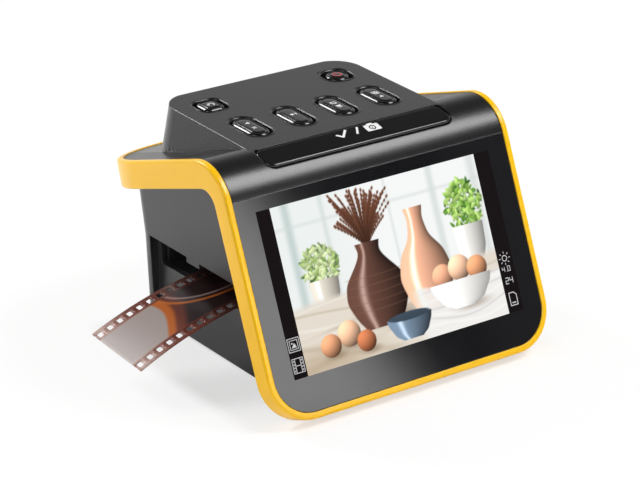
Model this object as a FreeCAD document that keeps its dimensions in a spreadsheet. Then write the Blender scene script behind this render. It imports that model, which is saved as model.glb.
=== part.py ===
import FreeCAD, Part
import math
import os

import Sketcher

Vector = FreeCAD.Vector
Placement = FreeCAD.Placement
Rotation = FreeCAD.Rotation

# Every driving size of the film scanner, in millimetres and degrees.
# X runs to the right of someone facing the screen, Y to the back, Z up from the table.
SIZES = {
    # The screen panel leans back from its foot
    "panelLean": 22.6,
    "panelFootY": -60,
    "panelFootZ": 6,
    "glassWidth": 126.6,
    "glassHeight": 82.2,
    "glassCornerRadius": 15,
    "glassThickness": 2.2,
    # Above the glass the skin bends over and falls to the back as a shelf
    "bendRadius": 18,
    "shelfSlope": 17.95,
    "shelfLength": 106,
    "shelfCornerRadius": 44,
    # The yellow band goes all the way round the panel and the shelf
    "trimThickness": 2.7,
    "trimProud": 0.4,
    "trimFrontDepth": 8,
    "trimShelfDepth": 10.6,
    "trimInnerBend": 8,
    "trimBevel": 1.1,
    # Top cover with the raised key island
    "coverThickness": 2.2,
    "islandTilt": 1.2,
    "islandWidth": 88.6,
    "islandLength": 64.3,
    "islandCornerRadius": 12,
    "islandDraft": 9,
    "islandDepth": 46,
    # Keys on the island
    "pillPitch": 20,
    "pillRow": 20.8,
    "pillWidth": 9.4,
    "pillLength": 21.4,
    "squareAcross": 30,
    "squareRow": 48.3,
    "squareSize": 11.2,
    "squareCornerRadius": 2.6,
    "keyClearance": 0.25,
    "keyRecess": 0.8,
    "keyProud": 0.3,
    "keyFlange": 1.3,
    "keyFlangeThickness": 1,
    "keyEdge": 0.5,
    "stemSize": 3.4,
    "switchGap": 0.9,
    "switchHeight": 0.8,
    "switchSize": 4.4,
    # The long confirm bar on the bend
    "barWidth": 86.8,
    "barDepth": 11.3,
    "barThickness": 3.2,
    "barTilt": 14,
    "barSetback": 0.3,
    "barFrontRadius": 4,
    "barBackRadius": 2.4,
    "barEdge": 0.6,
    "barStemAcross": 15,
    # Key board under the island
    "boardThickness": 1.6,
    "keyBoardDepth": 7.4,
    "keyBoardWidth": 77,
    "keyBoardFront": 9,
    "keyBoardBack": 58,
    "keyBoardPostAcross": 35.5,
    "keyBoardPostFront": 5,
    "keyBoardPostBack": 37.1,
    "postSize": 4.6,
    # Wing frame inside the band
    "fitGap": 0.1,
    "wingWall": 2,
    "wingFrontDepth": 8,
    "wingShelfDepth": 8.6,
    "wingInnerBend": 9,
    # Display behind the glass
    "lcdWidth": 116,
    "lcdHeight": 71,
    "lcdThickness": 3.4,
    "lcdCentreAcross": -0.6,
    "lcdCentreUp": 45.15,
    "frameThickness": 2,
    # Lower housing
    "shellBottom": 1,
    "shellFrontY": -58,
    "shellLowWidth": 95.2,
    "shellLowBackY": 61.9,
    "shellWaistZ": 37,
    "shellWaistBackY": 61.9,
    "shellHighZ": 90,
    "shellHighWidth": 102.4,
    "shellHighBackY": 68.4,
    "shellCornerRadius": 8,
    "shellWall": 2,
    "shellFloor": 3,
    # Finger bay and film slot on each side
    "bayDepth": 2.6,
    "bayFrontY": -28,
    "bayBackY": 53,
    "bayTopZ": 38.3,
    "slotFrontY": -25.9,
    "slotBackY": 51,
    "slotBottomZ": 26,
    "slotTopZ": 37.7,
    "slotCorner": 2.2,
    "lugFrontY": 17,
    "lugBackY": 26,
    "lugDrop": 2.2,
    "lugThickness": 2.2,
    # Base
    "baseHalfWidth": 42,
    "baseFrontY": -47,
    "baseBackY": 51,
    "baseThickness": 1.5,
    "baseGap": 0.15,
    "baseLedge": 8,
    "baseCorner": 4,
    "footSize": 10,
    "footCorner": 2.5,
    "footAcross": 33,
    "footFrontY": -32,
    "footBackY": 37,
    # Film path
    "filmCentreY": 12.3,
    "filmWidth": 35,
    "filmThickness": 0.2,
    "filmZ": 30.2,
    "filmInnerX": 58,
    "filmOuterLength": 92.6,
    "filmBendX": -18.4,
    "filmBendRadius": 159,
    "filmBendSkew": 8.6,
    "perforationPitch": 4.75,
    "perforationLength": 1.98,
    "perforationWidth": 2.8,
    "perforationInset": 2.01,
    "perforationFirst": 2,
    "perforationDepth": 2,
    # Tray that carries the film through the light path
    "trayHalfLength": 34,
    "trayClearance": 1.6,
    "trayBottomZ": 26.1,
    "traySplitZ": 30.9,
    "trayTopZ": 34.6,
    "channelBottomZ": 30,
    "channelClearance": 0.3,
    "reliefStart": 19,
    "reliefDepth": 1.2,
    "windowLength": 36,
    "windowWidth": 24,
    # Track that the tray slides in
    "trackEndGap": 0.6,
    "trackBottomZ": 23,
    "trackFloorZ": 25.9,
    "trackTopZ": 36,
    "trackWall": 2,
    "trackRail": 1.2,
    "trackWindowMargin": 2,
    # Light box under the track
    "lightLength": 56,
    "lightWidth": 42,
    "lightWall": 1.5,
    "diffuserThickness": 2,
    "ledBoardThickness": 1.2,
    "ledSize": 3,
    "ledHeight": 0.8,
    "ledPitch": 10,
    # Camera over the track
    "chassisThickness": 2,
    "towerSize": 26,
    "towerWall": 2,
    "towerTopZ": 58,
    "holderFlange": 2,
    "holderBottomZ": 44,
    "lensRadius": 8,
    "lensThickness": 3.2,
    "lensLip": 1,
    "sensorBoardSize": 30,
    "sensorBoardThickness": 1.2,
    "sensorChipSize": 11,
    "sensorChipThickness": 1,
    # Main board with its sockets at the back
    "mainBoardZ": 47,
    "mainBoardWidth": 76,
    "mainBoardFrontY": 27,
    "mainBoardBackY": 59.8,
    "standoffAcross": 34,
    "standoffFrontY": 31,
    "standoffBackY": 49.5,
    "standoffSize": 5,
    "processorSize": 14,
    "processorThickness": 1.4,
    "socketBackY": 62.9,
    "socketGap": 0.4,
    "socketWall": 0.35,
    "powerFromEnd": 14,
    "powerWidth": 9,
    "powerHeight": 3.3,
    "powerDepth": 7.4,
    "videoAcross": -4,
    "videoWidth": 11.2,
    "videoHeight": 3.5,
    "videoDepth": 7.6,
    "cardAcross": 17.5,
    "cardWidth": 26,
    "cardHeight": 3,
    "cardDepth": 27,
    # Shared
    "overrun": 20,
    "farReach": 160,
}

doc = FreeCAD.newDocument("FilmScanner")
sheet = doc.addObject("Spreadsheet::Sheet", "Sheet")
for row, (alias, number) in enumerate(SIZES.items(), start=1):
    sheet.set(f"A{row}", alias)
    sheet.set(f"B{row}", str(number))
    sheet.setAlias(f"B{row}", alias)
doc.recompute()

pieces = []


def value(expression):
    """Evaluate an expression of sheet sizes to a plain number."""
    result = sheet.evalExpression(expression)
    return float(getattr(result, "Value", result))


def size(alias):
    return value(f"Sheet.{alias}")


# Frames: the leaning panel, the falling shelf, the key island and the confirm bar
LEAN = math.radians(size("panelLean"))
PANEL = Placement(Vector(0, size("panelFootY"), size("panelFootZ")),
                  Rotation(Vector(1, 0, 0), 90 - size("panelLean")))
APEX_REACH = "(Sheet.glassHeight + Sheet.bendRadius * tan((90 - Sheet.panelLean + Sheet.shelfSlope) / 2))"
APEX_Y = f"(Sheet.panelFootY + {APEX_REACH} * sin(Sheet.panelLean))"
APEX_Z = f"(Sheet.panelFootZ + {APEX_REACH} * cos(Sheet.panelLean))"
SHELF = Placement(Vector(0, value(APEX_Y), value(APEX_Z)), Rotation(Vector(1, 0, 0), -size("shelfSlope")))
BEND_Y = ("(Sheet.panelFootY + Sheet.glassHeight * sin(Sheet.panelLean)"
          " + Sheet.bendRadius * cos(Sheet.panelLean))")
BEND_Z = ("(Sheet.panelFootZ + Sheet.glassHeight * cos(Sheet.panelLean)"
          " - Sheet.bendRadius * sin(Sheet.panelLean))")
ISLAND_Y = f"({BEND_Y} - Sheet.bendRadius * sin(Sheet.islandTilt))"
ISLAND_Z = f"({BEND_Z} + Sheet.bendRadius * cos(Sheet.islandTilt))"
ISLAND_FRONT = Vector(0, value(ISLAND_Y), value(ISLAND_Z))
ISLAND = Placement(ISLAND_FRONT, Rotation(Vector(1, 0, 0), size("islandTilt")))
BAR = Placement(ISLAND_FRONT, Rotation(Vector(1, 0, 0), size("barTilt")))
SIDE = Placement(Vector(0, 0, 0), Rotation(Vector(1, 1, 1), 120))
FRONT = Placement(Vector(0, 0, 0), Rotation(Vector(1, 0, 0), 90))
GROUND = Placement()


def raised(frame, height):
    """A frame moved along its own normal."""
    return frame.multiply(Placement(Vector(0, 0, height), Rotation()))


# Expressions for places in the side view, as Y and Z
def panel_spot(reach, depth):
    return (f"Sheet.panelFootY + ({reach}) * sin(Sheet.panelLean) + ({depth}) * cos(Sheet.panelLean)",
            f"Sheet.panelFootZ + ({reach}) * cos(Sheet.panelLean) - ({depth}) * sin(Sheet.panelLean)")


def shelf_spot(reach, depth):
    return (f"{APEX_Y} + ({reach}) * cos(Sheet.shelfSlope) - ({depth}) * sin(Sheet.shelfSlope)",
            f"{APEX_Z} - ({reach}) * sin(Sheet.shelfSlope) - ({depth}) * cos(Sheet.shelfSlope)")


def island_spot(reach, depth):
    return (f"{ISLAND_Y} + ({reach}) * cos(Sheet.islandTilt) + ({depth}) * sin(Sheet.islandTilt)",
            f"{ISLAND_Z} + ({reach}) * sin(Sheet.islandTilt) - ({depth}) * cos(Sheet.islandTilt)")


def skin_corner(front, top):
    """Where the panel line and the shelf line meet, each moved inwards by its depth."""
    spread = "cos(Sheet.panelLean - Sheet.shelfSlope)"
    along = f"(({front}) * cos(Sheet.shelfSlope) - ({top}) * sin(Sheet.panelLean)) / {spread}"
    drop = f"(({top}) * cos(Sheet.panelLean) + ({front}) * sin(Sheet.shelfSlope)) / {spread}"
    return (f"{APEX_Y} + {along}", f"{APEX_Z} - {drop}")


# Sketches
def outline(sketch, corners):
    """Close a loop through the corners; a corner with a radius gets a tangent arc."""
    count = len(corners)
    spots = [Vector(value(across), value(up), 0) for across, up, bend in corners]
    radii = [value(bend) if bend else 0 for across, up, bend in corners]
    starts = []
    ends = []
    arcs = {}
    for index, spot in enumerate(spots):
        before = spots[index - 1]
        after = spots[(index + 1) % count]
        if not radii[index]:
            starts.append(spot)
            ends.append(spot)
            continue
        back = (before - spot).normalize()
        ahead = (after - spot).normalize()
        half = back.getAngle(ahead) / 2
        run = radii[index] / math.tan(half)
        centre = spot + (back + ahead).normalize() * (radii[index] / math.sin(half))
        starts.append(spot + back * run)
        ends.append(spot + ahead * run)
        left = (spot - before).cross(after - spot).z > 0
        first, last = (starts[-1], ends[-1]) if left else (ends[-1], starts[-1])
        begin = math.atan2(first.y - centre.y, first.x - centre.x)
        finish = math.atan2(last.y - centre.y, last.x - centre.x)
        if finish < begin:
            finish += 2 * math.pi
        circle = Part.Circle(centre, Vector(0, 0, 1), radii[index])
        arcs[index] = (Part.ArcOfCircle(circle, begin, finish), left)
    lines = [Part.LineSegment(ends[index], starts[(index + 1) % count]) for index in range(count)]
    first_line = sketch.addGeometry(lines, False)[0]
    rules = []
    driven = []
    for index, (across, up, bend) in enumerate(corners):
        arriving = first_line + (index - 1) % count
        leaving = first_line + index
        if index in arcs:
            arc, left = arcs[index]
            arc_id = sketch.addGeometry(arc, False)
            mark = sketch.addGeometry(Part.Point(spots[index]), True)
            near, far = (1, 2) if left else (2, 1)
            rules.append(Sketcher.Constraint("Tangent", arriving, 2, arc_id, near))
            rules.append(Sketcher.Constraint("Tangent", arc_id, far, leaving, 1))
            rules.append(Sketcher.Constraint("PointOnObject", mark, 1, arriving))
            rules.append(Sketcher.Constraint("PointOnObject", mark, 1, leaving))
            driven.append((Sketcher.Constraint("Radius", arc_id, radii[index]), bend))
            place = (mark, 1)
        else:
            rules.append(Sketcher.Constraint("Coincident", arriving, 2, leaving, 1))
            place = (leaving, 1)
        driven.append((Sketcher.Constraint("DistanceX", -1, 1, *place, spots[index].x), across))
        driven.append((Sketcher.Constraint("DistanceY", -1, 1, *place, spots[index].y), up))
    sketch.addConstraint(rules)
    for rule, expression in driven:
        number = sketch.addConstraint(rule)
        sketch.setExpression(f"Constraints[{number}]", expression)


def disc(sketch, across, up, radius):
    """A circle whose centre and radius follow the sheet."""
    centre = Vector(value(across), value(up), 0)
    circle = sketch.addGeometry(Part.Circle(centre, Vector(0, 0, 1), value(radius)), False)
    for rule, expression in (
        (Sketcher.Constraint("DistanceX", -1, 1, circle, 3, centre.x), across),
        (Sketcher.Constraint("DistanceY", -1, 1, circle, 3, centre.y), up),
        (Sketcher.Constraint("Radius", circle, value(radius)), radius),
    ):
        number = sketch.addConstraint(rule)
        sketch.setExpression(f"Constraints[{number}]", expression)


def rectangle(half_width, bottom, top, bottom_radius="", top_radius=""):
    """Corners of an upright rectangle, centred across."""
    return [(f"-({half_width})", bottom, bottom_radius), (half_width, bottom, bottom_radius),
            (half_width, top, top_radius), (f"-({half_width})", top, top_radius)]


def block(centre_x, centre_y, width, height, radius=""):
    """Corners of a rectangle about a centre."""
    left = f"({centre_x}) - ({width}) / 2"
    right = f"({centre_x}) + ({width}) / 2"
    low = f"({centre_y}) - ({height}) / 2"
    high = f"({centre_y}) + ({height}) / 2"
    return [(left, low, radius), (right, low, radius), (right, high, radius), (left, high, radius)]


def span(x_low, x_high, y_low, y_high, radius=""):
    """Corners of a rectangle between limits."""
    return [(x_low, y_low, radius), (x_high, y_low, radius),
            (x_high, y_high, radius), (x_low, y_high, radius)]


# Part level solids
def prism(name, corners, frame, low, high, draft=""):
    """Extrude an outline along the frame's normal from a low to a high level."""
    sketch = doc.addObject("Sketcher::SketchObject", f"{name}Sketch")
    sketch.Placement = raised(frame, value(low))
    outline(sketch, corners)
    solid = doc.addObject("Part::Extrusion", name)
    solid.Base = sketch
    solid.DirMode = "Normal"
    solid.Solid = True
    solid.setExpression("LengthFwd", f"({high}) - ({low})")
    if draft:
        solid.setExpression("TaperAngle", draft)
    return solid


def sunk_prism(name, corners, frame, top, depth, draft):
    """Extrude an outline downwards from a level, widening by the draft angle."""
    sketch = doc.addObject("Sketcher::SketchObject", f"{name}Sketch")
    sketch.Placement = raised(frame, value(top))
    outline(sketch, corners)
    solid = doc.addObject("Part::Extrusion", name)
    solid.Base = sketch
    solid.DirMode = "Normal"
    solid.Solid = True
    solid.Reversed = True
    solid.setExpression("LengthFwd", depth)
    solid.setExpression("TaperAngle", draft)
    return solid


def side_solid(name, corners, width):
    """Extrude a side view outline evenly to both sides."""
    sketch = doc.addObject("Sketcher::SketchObject", f"{name}Sketch")
    sketch.Placement = SIDE
    outline(sketch, corners)
    solid = doc.addObject("Part::Extrusion", name)
    solid.Base = sketch
    solid.DirMode = "Normal"
    solid.Solid = True
    solid.Symmetric = True
    solid.setExpression("LengthFwd", width)
    return solid


def cut(name, base, tool):
    result = doc.addObject("Part::Cut", name)
    result.Base = base
    result.Tool = tool
    return result


def fuse(name, solids):
    result = doc.addObject("Part::MultiFuse", name)
    result.Shapes = solids
    return result


def common(name, solids):
    result = doc.addObject("Part::MultiCommon", name)
    result.Shapes = solids
    return result


def keep(node, thing):
    """Name a finished sub-part and put it on the list."""
    thing.Label = node
    pieces.append(thing)
    return thing


# Bodies
def new_body(node, frame=GROUND):
    piece = doc.addObject("PartDesign::Body", node)
    piece.Placement = frame
    return keep(node, piece)


def body_sketch(piece, name, level):
    sketch = piece.newObject("Sketcher::SketchObject", name)
    plane = [feature for feature in piece.Origin.OriginFeatures if feature.Role == "XY_Plane"][0]
    sketch.AttachmentSupport = (plane, [""])
    sketch.MapMode = "FlatFace"
    sketch.setExpression("AttachmentOffset.Base.z", level)
    return sketch


def pad(piece, name, loops, low, high, draft=""):
    """Add material between two levels; a loop is a list of corners or one circle."""
    sketch = body_sketch(piece, f"{name}Sketch", low)
    for loop in loops:
        if isinstance(loop, tuple):
            disc(sketch, *loop)
        else:
            outline(sketch, loop)
    feature = piece.newObject("PartDesign::Pad", name)
    feature.Profile = sketch
    feature.setExpression("Length", f"({high}) - ({low})")
    if draft:
        feature.setExpression("TaperAngle", draft)
    return feature


def pocket(piece, name, loops, top, bottom):
    """Remove material downwards from one level to another."""
    sketch = body_sketch(piece, f"{name}Sketch", top)
    for loop in loops:
        if isinstance(loop, tuple):
            disc(sketch, *loop)
        else:
            outline(sketch, loop)
    feature = piece.newObject("PartDesign::Pocket", name)
    feature.Profile = sketch
    feature.setExpression("Length", f"({top}) - ({bottom})")
    return feature


def top_edges(shape, level):
    """Names of the edges that lie flat at a level."""
    names = []
    for number, edge in enumerate(shape.Edges, start=1):
        box = edge.BoundBox
        if abs(box.ZMin - level) < 1e-4 and abs(box.ZMax - level) < 1e-4:
            names.append(f"Edge{number}")
    return names


def chamfer_top(piece, feature, name, level, width):
    """Bevel the outer edges at the top of a body."""
    doc.recompute()
    bevel = piece.newObject("PartDesign::Chamfer", name)
    bevel.Base = (feature, top_edges(feature.Shape, value(level)))
    bevel.setExpression("Size", width)
    return bevel


# The skin, side view
WIDE = "Sheet.glassWidth + 2 * Sheet.trimThickness + Sheet.overrun"


def skin_solid(name, front, top, bend):
    """Everything behind the skin at the given depths below panel and shelf."""
    corners = [
        (*panel_spot("-Sheet.overrun", front), ""),
        (*skin_corner(front, top), bend),
        (*shelf_spot("Sheet.shelfLength + Sheet.overrun", top), ""),
        (*shelf_spot("Sheet.shelfLength + Sheet.overrun", "Sheet.glassHeight"), ""),
        (*panel_spot("-Sheet.overrun", "Sheet.glassHeight"), ""),
    ]
    return side_solid(name, corners, WIDE)


def envelope(name, inset):
    """The outline all round, seen square to the panel and square to the shelf, moved inwards."""
    half = f"Sheet.glassWidth / 2 + Sheet.trimThickness - ({inset})"
    front = prism(f"{name}Panel",
                  rectangle(half, f"({inset}) - Sheet.trimThickness", "Sheet.farReach",
                            f"Sheet.glassCornerRadius + Sheet.trimThickness - ({inset})"),
                  PANEL, "-Sheet.farReach", "Sheet.overrun")
    top = prism(f"{name}Shelf",
                rectangle(half, "-Sheet.farReach", f"Sheet.shelfLength - ({inset})",
                          "", f"Sheet.shelfCornerRadius - ({inset})"),
                SHELF, "-Sheet.farReach", "Sheet.overrun")
    return common(name, [front, top])


def make_trim_band():
    """One gloss band round the panel, over the bend and round the shelf."""
    proud = skin_solid("TrimSkin", "-Sheet.trimProud", "-Sheet.trimProud",
                       "Sheet.bendRadius + Sheet.trimProud")
    limit = envelope("TrimOuterLimit", "0")
    core = skin_solid("TrimCore", "Sheet.trimFrontDepth", "Sheet.trimShelfDepth", "Sheet.trimInnerBend")
    inside = fuse("TrimInside", [core, envelope("TrimInnerLimit", "Sheet.trimThickness")])
    ring = cut("TrimRing", common("TrimOutside", [proud, limit]), inside)
    doc.recompute()
    bevelled = doc.addObject("Part::Chamfer", "TrimBevelled")
    bevelled.Base = ring
    width = size("trimBevel")
    bevelled.Edges = [(number, width, width)
                      for number in shared_edges(ring.Shape, proud.Shape, limit.Shape)]
    return keep("trim_band", bevelled)


def shared_edges(shape, first, second):
    """Numbers of the edges whose middle lies on the surfaces of two other solids."""
    surfaces = [first.Solids[0].Shells[0], second.Solids[0].Shells[0]]
    numbers = []
    for number, edge in enumerate(shape.Edges, start=1):
        middle = Part.Vertex(edge.valueAt((edge.FirstParameter + edge.LastParameter) / 2))
        if all(middle.distToShape(surface)[0] < 1e-4 for surface in surfaces):
            numbers.append(number)
    return numbers


# Top cover
def island_solid(name, inset):
    """The raised key island, tapering up to its top, moved inwards by an inset."""
    turn = "(90 - Sheet.panelLean - Sheet.islandTilt) / 2"
    bend = f"Sheet.bendRadius - ({inset})"
    shape = side_solid(f"{name}Side", [
        (*panel_spot("Sheet.glassHeight / 2", inset), ""),
        (*island_spot(f"-({bend}) * tan({turn})", inset), bend),
        (*island_spot("Sheet.shelfLength", inset), ""),
        (*island_spot("Sheet.shelfLength", "Sheet.islandDepth"), ""),
        (*island_spot("0", "Sheet.islandDepth"), ""),
    ], WIDE)
    plan = sunk_prism(f"{name}Plan",
                      rectangle(f"Sheet.islandWidth / 2 - ({inset})", "-Sheet.glassHeight / 2",
                                f"Sheet.islandLength - ({inset})",
                                "", f"Sheet.islandCornerRadius - ({inset})"),
                      ISLAND, "0", "Sheet.islandDepth", "Sheet.islandDraft")
    return common(name, [shape, plan])


def key_places():
    """Centre across, centre along, width, length and corner radius of each key's cap."""
    pill = ("Sheet.pillRow", "Sheet.pillWidth", "Sheet.pillLength", "Sheet.pillWidth * 0.48")
    square = ("Sheet.squareRow", "Sheet.squareSize", "Sheet.squareSize", "Sheet.squareCornerRadius")
    return {
        "previous_key": ("-1.5 * Sheet.pillPitch", *pill),
        "next_key": ("-0.5 * Sheet.pillPitch", *pill),
        "mode_key": ("0.5 * Sheet.pillPitch", *pill),
        "gallery_key": ("1.5 * Sheet.pillPitch", *pill),
        "return_key": ("-Sheet.squareAcross", *square),
        "power_key": ("Sheet.squareAcross", *square),
    }


def grown(place, margin):
    """A key's outline moved outwards by a margin."""
    across, along, width, length, radius = place
    return block(across, along, f"{width} + 2 * ({margin})", f"{length} + 2 * ({margin})",
                 f"{radius} + ({margin})")


def bar_outline(margin):
    back = f"({margin}) - Sheet.barSetback"
    front = f"-Sheet.barSetback - Sheet.barDepth - ({margin})"
    return rectangle(f"Sheet.barWidth / 2 + ({margin})", front, back,
                     f"Sheet.barFrontRadius + ({margin})", f"Sheet.barBackRadius + ({margin})")


def make_top_cover():
    """Bend, shelf and hollow key island in one moulding, with the openings for the keys."""
    outer = fuse("CoverOuter", [skin_solid("CoverSkin", "0", "0", "Sheet.bendRadius"),
                                island_solid("IslandOuter", "0")])
    thick = "Sheet.coverThickness"
    inner = fuse("CoverInner", [skin_solid("CoverLining", thick, thick, f"Sheet.bendRadius - {thick}"),
                                island_solid("IslandInner", thick)])
    shell = cut("CoverShell", outer, inner)
    trimmed = common("CoverTrimmed", [shell, envelope("CoverLimit", "Sheet.trimThickness + Sheet.fitGap")])
    glass_room = prism("CoverGlassRoom",
                       rectangle("Sheet.glassWidth", "-Sheet.overrun", "Sheet.glassHeight + Sheet.fitGap"),
                       PANEL, "-Sheet.overrun", "Sheet.overrun")
    tools = [glass_room]
    for node, place in key_places().items():
        tools.append(prism(f"{node}Hole", grown(place, "Sheet.keyRecess"), ISLAND,
                           "-Sheet.coverThickness - Sheet.fitGap", "Sheet.overrun"))
    tools.append(prism("BarHole", bar_outline("Sheet.keyClearance"), BAR,
                       "-2 * Sheet.barThickness", "Sheet.overrun"))
    cover = cut("CoverCut", trimmed, fuse("CoverTools", tools))
    posts = [board_post(f"Post{side}{row}", f"{sign}Sheet.keyBoardPostAcross", along)
             for side, sign in (("Left", "-"), ("Right", ""))
             for row, along in (("Front", "Sheet.keyBoardPostFront"), ("Back", "Sheet.keyBoardPostBack"))]
    return keep("top_cover", fuse("Cover", [cover, *posts]))


def board_post(name, across, along):
    """A post from the island's underside to the key board."""
    return prism(name, block(across, along, "Sheet.postSize", "Sheet.postSize"), ISLAND,
                 "-Sheet.keyBoardDepth", "-Sheet.coverThickness / 2")


# Keys
def make_key(node, place):
    """A cap with a bevelled rim, a flange under the cover and a stem."""
    across, along, width, length, radius = place
    flange_top = "-Sheet.coverThickness - Sheet.keyClearance"
    flange_bottom = f"{flange_top} - Sheet.keyFlangeThickness"
    stem_bottom = "-Sheet.keyBoardDepth + Sheet.switchHeight + Sheet.switchGap"
    piece = new_body(node, ISLAND)
    stem = block(across, along, "Sheet.stemSize", "Sheet.stemSize")
    flange = block(across, along, f"{width} + 2 * Sheet.keyFlange", f"{length} + 2 * Sheet.keyFlange")
    pad(piece, f"{node}Stem", [stem], stem_bottom, flange_bottom)
    pad(piece, f"{node}Flange", [flange], flange_bottom, flange_top)
    cap = pad(piece, f"{node}Cap", [grown(place, "0")], flange_top, "Sheet.keyProud")
    chamfer_top(piece, cap, f"{node}Edge", "Sheet.keyProud", "Sheet.keyEdge")
    return piece


def make_ok_bar():
    """A long bar that lies flat over the bend, with two short stems."""
    piece = new_body("ok_bar", BAR)
    middle = "-Sheet.barSetback - Sheet.barDepth / 2"
    stem_low = ("-Sheet.keyBoardDepth + Sheet.switchHeight + Sheet.switchGap"
                " + Sheet.barDepth / 2 * sin(Sheet.barTilt - Sheet.islandTilt)")
    stems = [block(f"{sign}Sheet.barStemAcross", middle, "Sheet.stemSize", "Sheet.stemSize")
             for sign in ("-", "")]
    pad(piece, "BarSlab", [bar_outline("0")], "-Sheet.barThickness", "0")
    bar = pad(piece, "BarStems", stems, stem_low, "-Sheet.barThickness + Sheet.fitGap")
    chamfer_top(piece, bar, "BarEdge", "0", "Sheet.barEdge")
    return piece


def make_key_board():
    """Circuit board under the island with one snap switch below each stem."""
    top = "-Sheet.keyBoardDepth"
    piece = new_body("key_board", ISLAND)
    plate = rectangle("Sheet.keyBoardWidth / 2", "-Sheet.keyBoardFront", "Sheet.keyBoardBack")
    pad(piece, "KeyBoardPlate", [plate], f"{top} - Sheet.boardThickness", top)
    switches = new_body("key_switches", ISLAND)
    spots = [(across, along) for across, along, *rest in key_places().values()]
    bar_along = ("-(Sheet.barSetback + Sheet.barDepth / 2)"
                 " + Sheet.keyBoardDepth * sin(Sheet.barTilt - Sheet.islandTilt)")
    spots += [(f"{sign}Sheet.barStemAcross", bar_along) for sign in ("-", "")]
    blocks = [block(across, along, "Sheet.switchSize", "Sheet.switchSize") for across, along in spots]
    pad(switches, "Switches", blocks, top, f"{top} + Sheet.switchHeight")
    return piece


# Screen
def make_front_glass():
    piece = new_body("front_glass", PANEL)
    pad(piece, "GlassPlate",
        [rectangle("Sheet.glassWidth / 2 - Sheet.fitGap", "Sheet.fitGap", "Sheet.glassHeight",
                   "Sheet.glassCornerRadius - Sheet.fitGap")],
        "-Sheet.glassThickness", "0")
    return piece


def make_display():
    """The display module and the frame that holds it behind the glass."""
    top = "-Sheet.glassThickness - Sheet.fitGap"
    lcd = new_body("lcd_panel", PANEL)
    screen = block("Sheet.lcdCentreAcross", "Sheet.lcdCentreUp", "Sheet.lcdWidth", "Sheet.lcdHeight")
    pad(lcd, "LcdBlock", [screen], f"{top} - Sheet.lcdThickness", top)
    frame = new_body("front_frame", PANEL)
    room = block("Sheet.lcdCentreAcross", "Sheet.lcdCentreUp", "Sheet.lcdWidth + 2 * Sheet.fitGap",
                 "Sheet.lcdHeight + 2 * Sheet.fitGap")
    inset = "Sheet.wingWall + 3 * Sheet.fitGap"
    edge = rectangle(f"Sheet.glassWidth / 2 - ({inset})", inset, "Sheet.glassHeight",
                     f"Sheet.glassCornerRadius - ({inset})")
    pad(frame, "FramePlate", [edge, room], f"{top} - Sheet.frameThickness", top)
    return lcd


# Housing
def make_wing_frame():
    """L shaped tray inside the band: a rim wall and a floor that closes the wings from below."""
    rim = "Sheet.coverThickness + Sheet.fitGap"
    wall = "Sheet.wingWall"
    outer = common("WingOuter", [skin_solid("WingSkin", rim, rim, f"Sheet.bendRadius - ({rim})"),
                                 envelope("WingLimit", "Sheet.trimThickness + Sheet.fitGap")])
    below = skin_solid("WingBelow", "Sheet.wingFrontDepth", "Sheet.wingShelfDepth", "Sheet.wingInnerBend")
    room = cut("WingRoom", envelope("WingRoomLimit", f"Sheet.trimThickness + Sheet.fitGap + {wall}"),
               skin_solid("WingFloor", f"Sheet.wingFrontDepth - {wall}", f"Sheet.wingShelfDepth - {wall}",
                          f"Sheet.wingInnerBend + {wall}"))
    away = fuse("WingAway", [below, room, housing("WingPassage", "Sheet.shellWall")])
    return keep("wing_frame", cut("Wing", outer, away))


def flare_half(height):
    """Half the housing's width at a height."""
    share = f"(({height}) - Sheet.shellBottom) / (Sheet.shellHighZ - Sheet.shellBottom)"
    return f"(Sheet.shellLowWidth + (Sheet.shellHighWidth - Sheet.shellLowWidth) * {share}) / 2"


def housing(name, inset):
    """The lower housing, flaring upwards with a kink in its back, moved inwards by an inset."""
    low = "Sheet.shellBottom"
    high = "Sheet.shellHighZ"
    low_half = f"({flare_half(low)} - ({inset}))"
    high_half = f"({flare_half(high)} - ({inset}))"
    side = side_solid(f"{name}Side", [
        ("Sheet.shellFrontY", low, ""),
        (f"Sheet.shellLowBackY - ({inset})", low, ""),
        (f"Sheet.shellWaistBackY - ({inset})", "Sheet.shellWaistZ", ""),
        (f"Sheet.shellHighBackY - ({inset})", high, ""),
        ("Sheet.shellFrontY", high, ""),
    ], WIDE)
    front = prism(f"{name}Front", [(f"-{low_half}", low, ""), (low_half, low, ""),
                                   (high_half, high, ""), (f"-{high_half}", high, "")],
                  FRONT, "-Sheet.farReach", "Sheet.farReach")
    flared = common(f"{name}Flared", [side, front])
    doc.recompute()
    rounded = doc.addObject("Part::Fillet", name)
    rounded.Base = flared
    bend = value(f"Sheet.shellCornerRadius - ({inset})")
    rounded.Edges = [(number, bend, bend) for number, edge in enumerate(flared.Shape.Edges, start=1)
                     if edge.BoundBox.ZLength > bend and edge.BoundBox.YMin > 0]
    return rounded


BAY_X = "(Sheet.shellLowWidth / 2 - Sheet.bayDepth)"


def bay(name, sign, grow):
    """The finger bay beside the film slot, as a solid to take away."""
    near = f"{BAY_X} - ({grow})"
    far = f"{BAY_X} + Sheet.overrun"
    low, high = (near, far) if not sign else (f"-({far})", f"-({near})")
    room = prism(name, span(low, high, f"Sheet.bayFrontY - ({grow})", f"Sheet.bayBackY + ({grow})"),
                 GROUND, "-Sheet.overrun", f"Sheet.bayTopZ + ({grow})")
    if grow != "0":
        return room
    lug_near = f"{flare_half('Sheet.bayTopZ')} - Sheet.lugThickness"
    lug_far = f"{far} + Sheet.fitGap"
    low, high = (lug_near, lug_far) if not sign else (f"-({lug_far})", f"-({lug_near})")
    lug = prism(f"{name}Lug", span(low, high, "Sheet.lugFrontY", "Sheet.lugBackY"), GROUND,
                "Sheet.bayTopZ - Sheet.lugDrop", "Sheet.bayTopZ + Sheet.overrun")
    return cut(f"{name}Room", room, lug)


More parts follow.
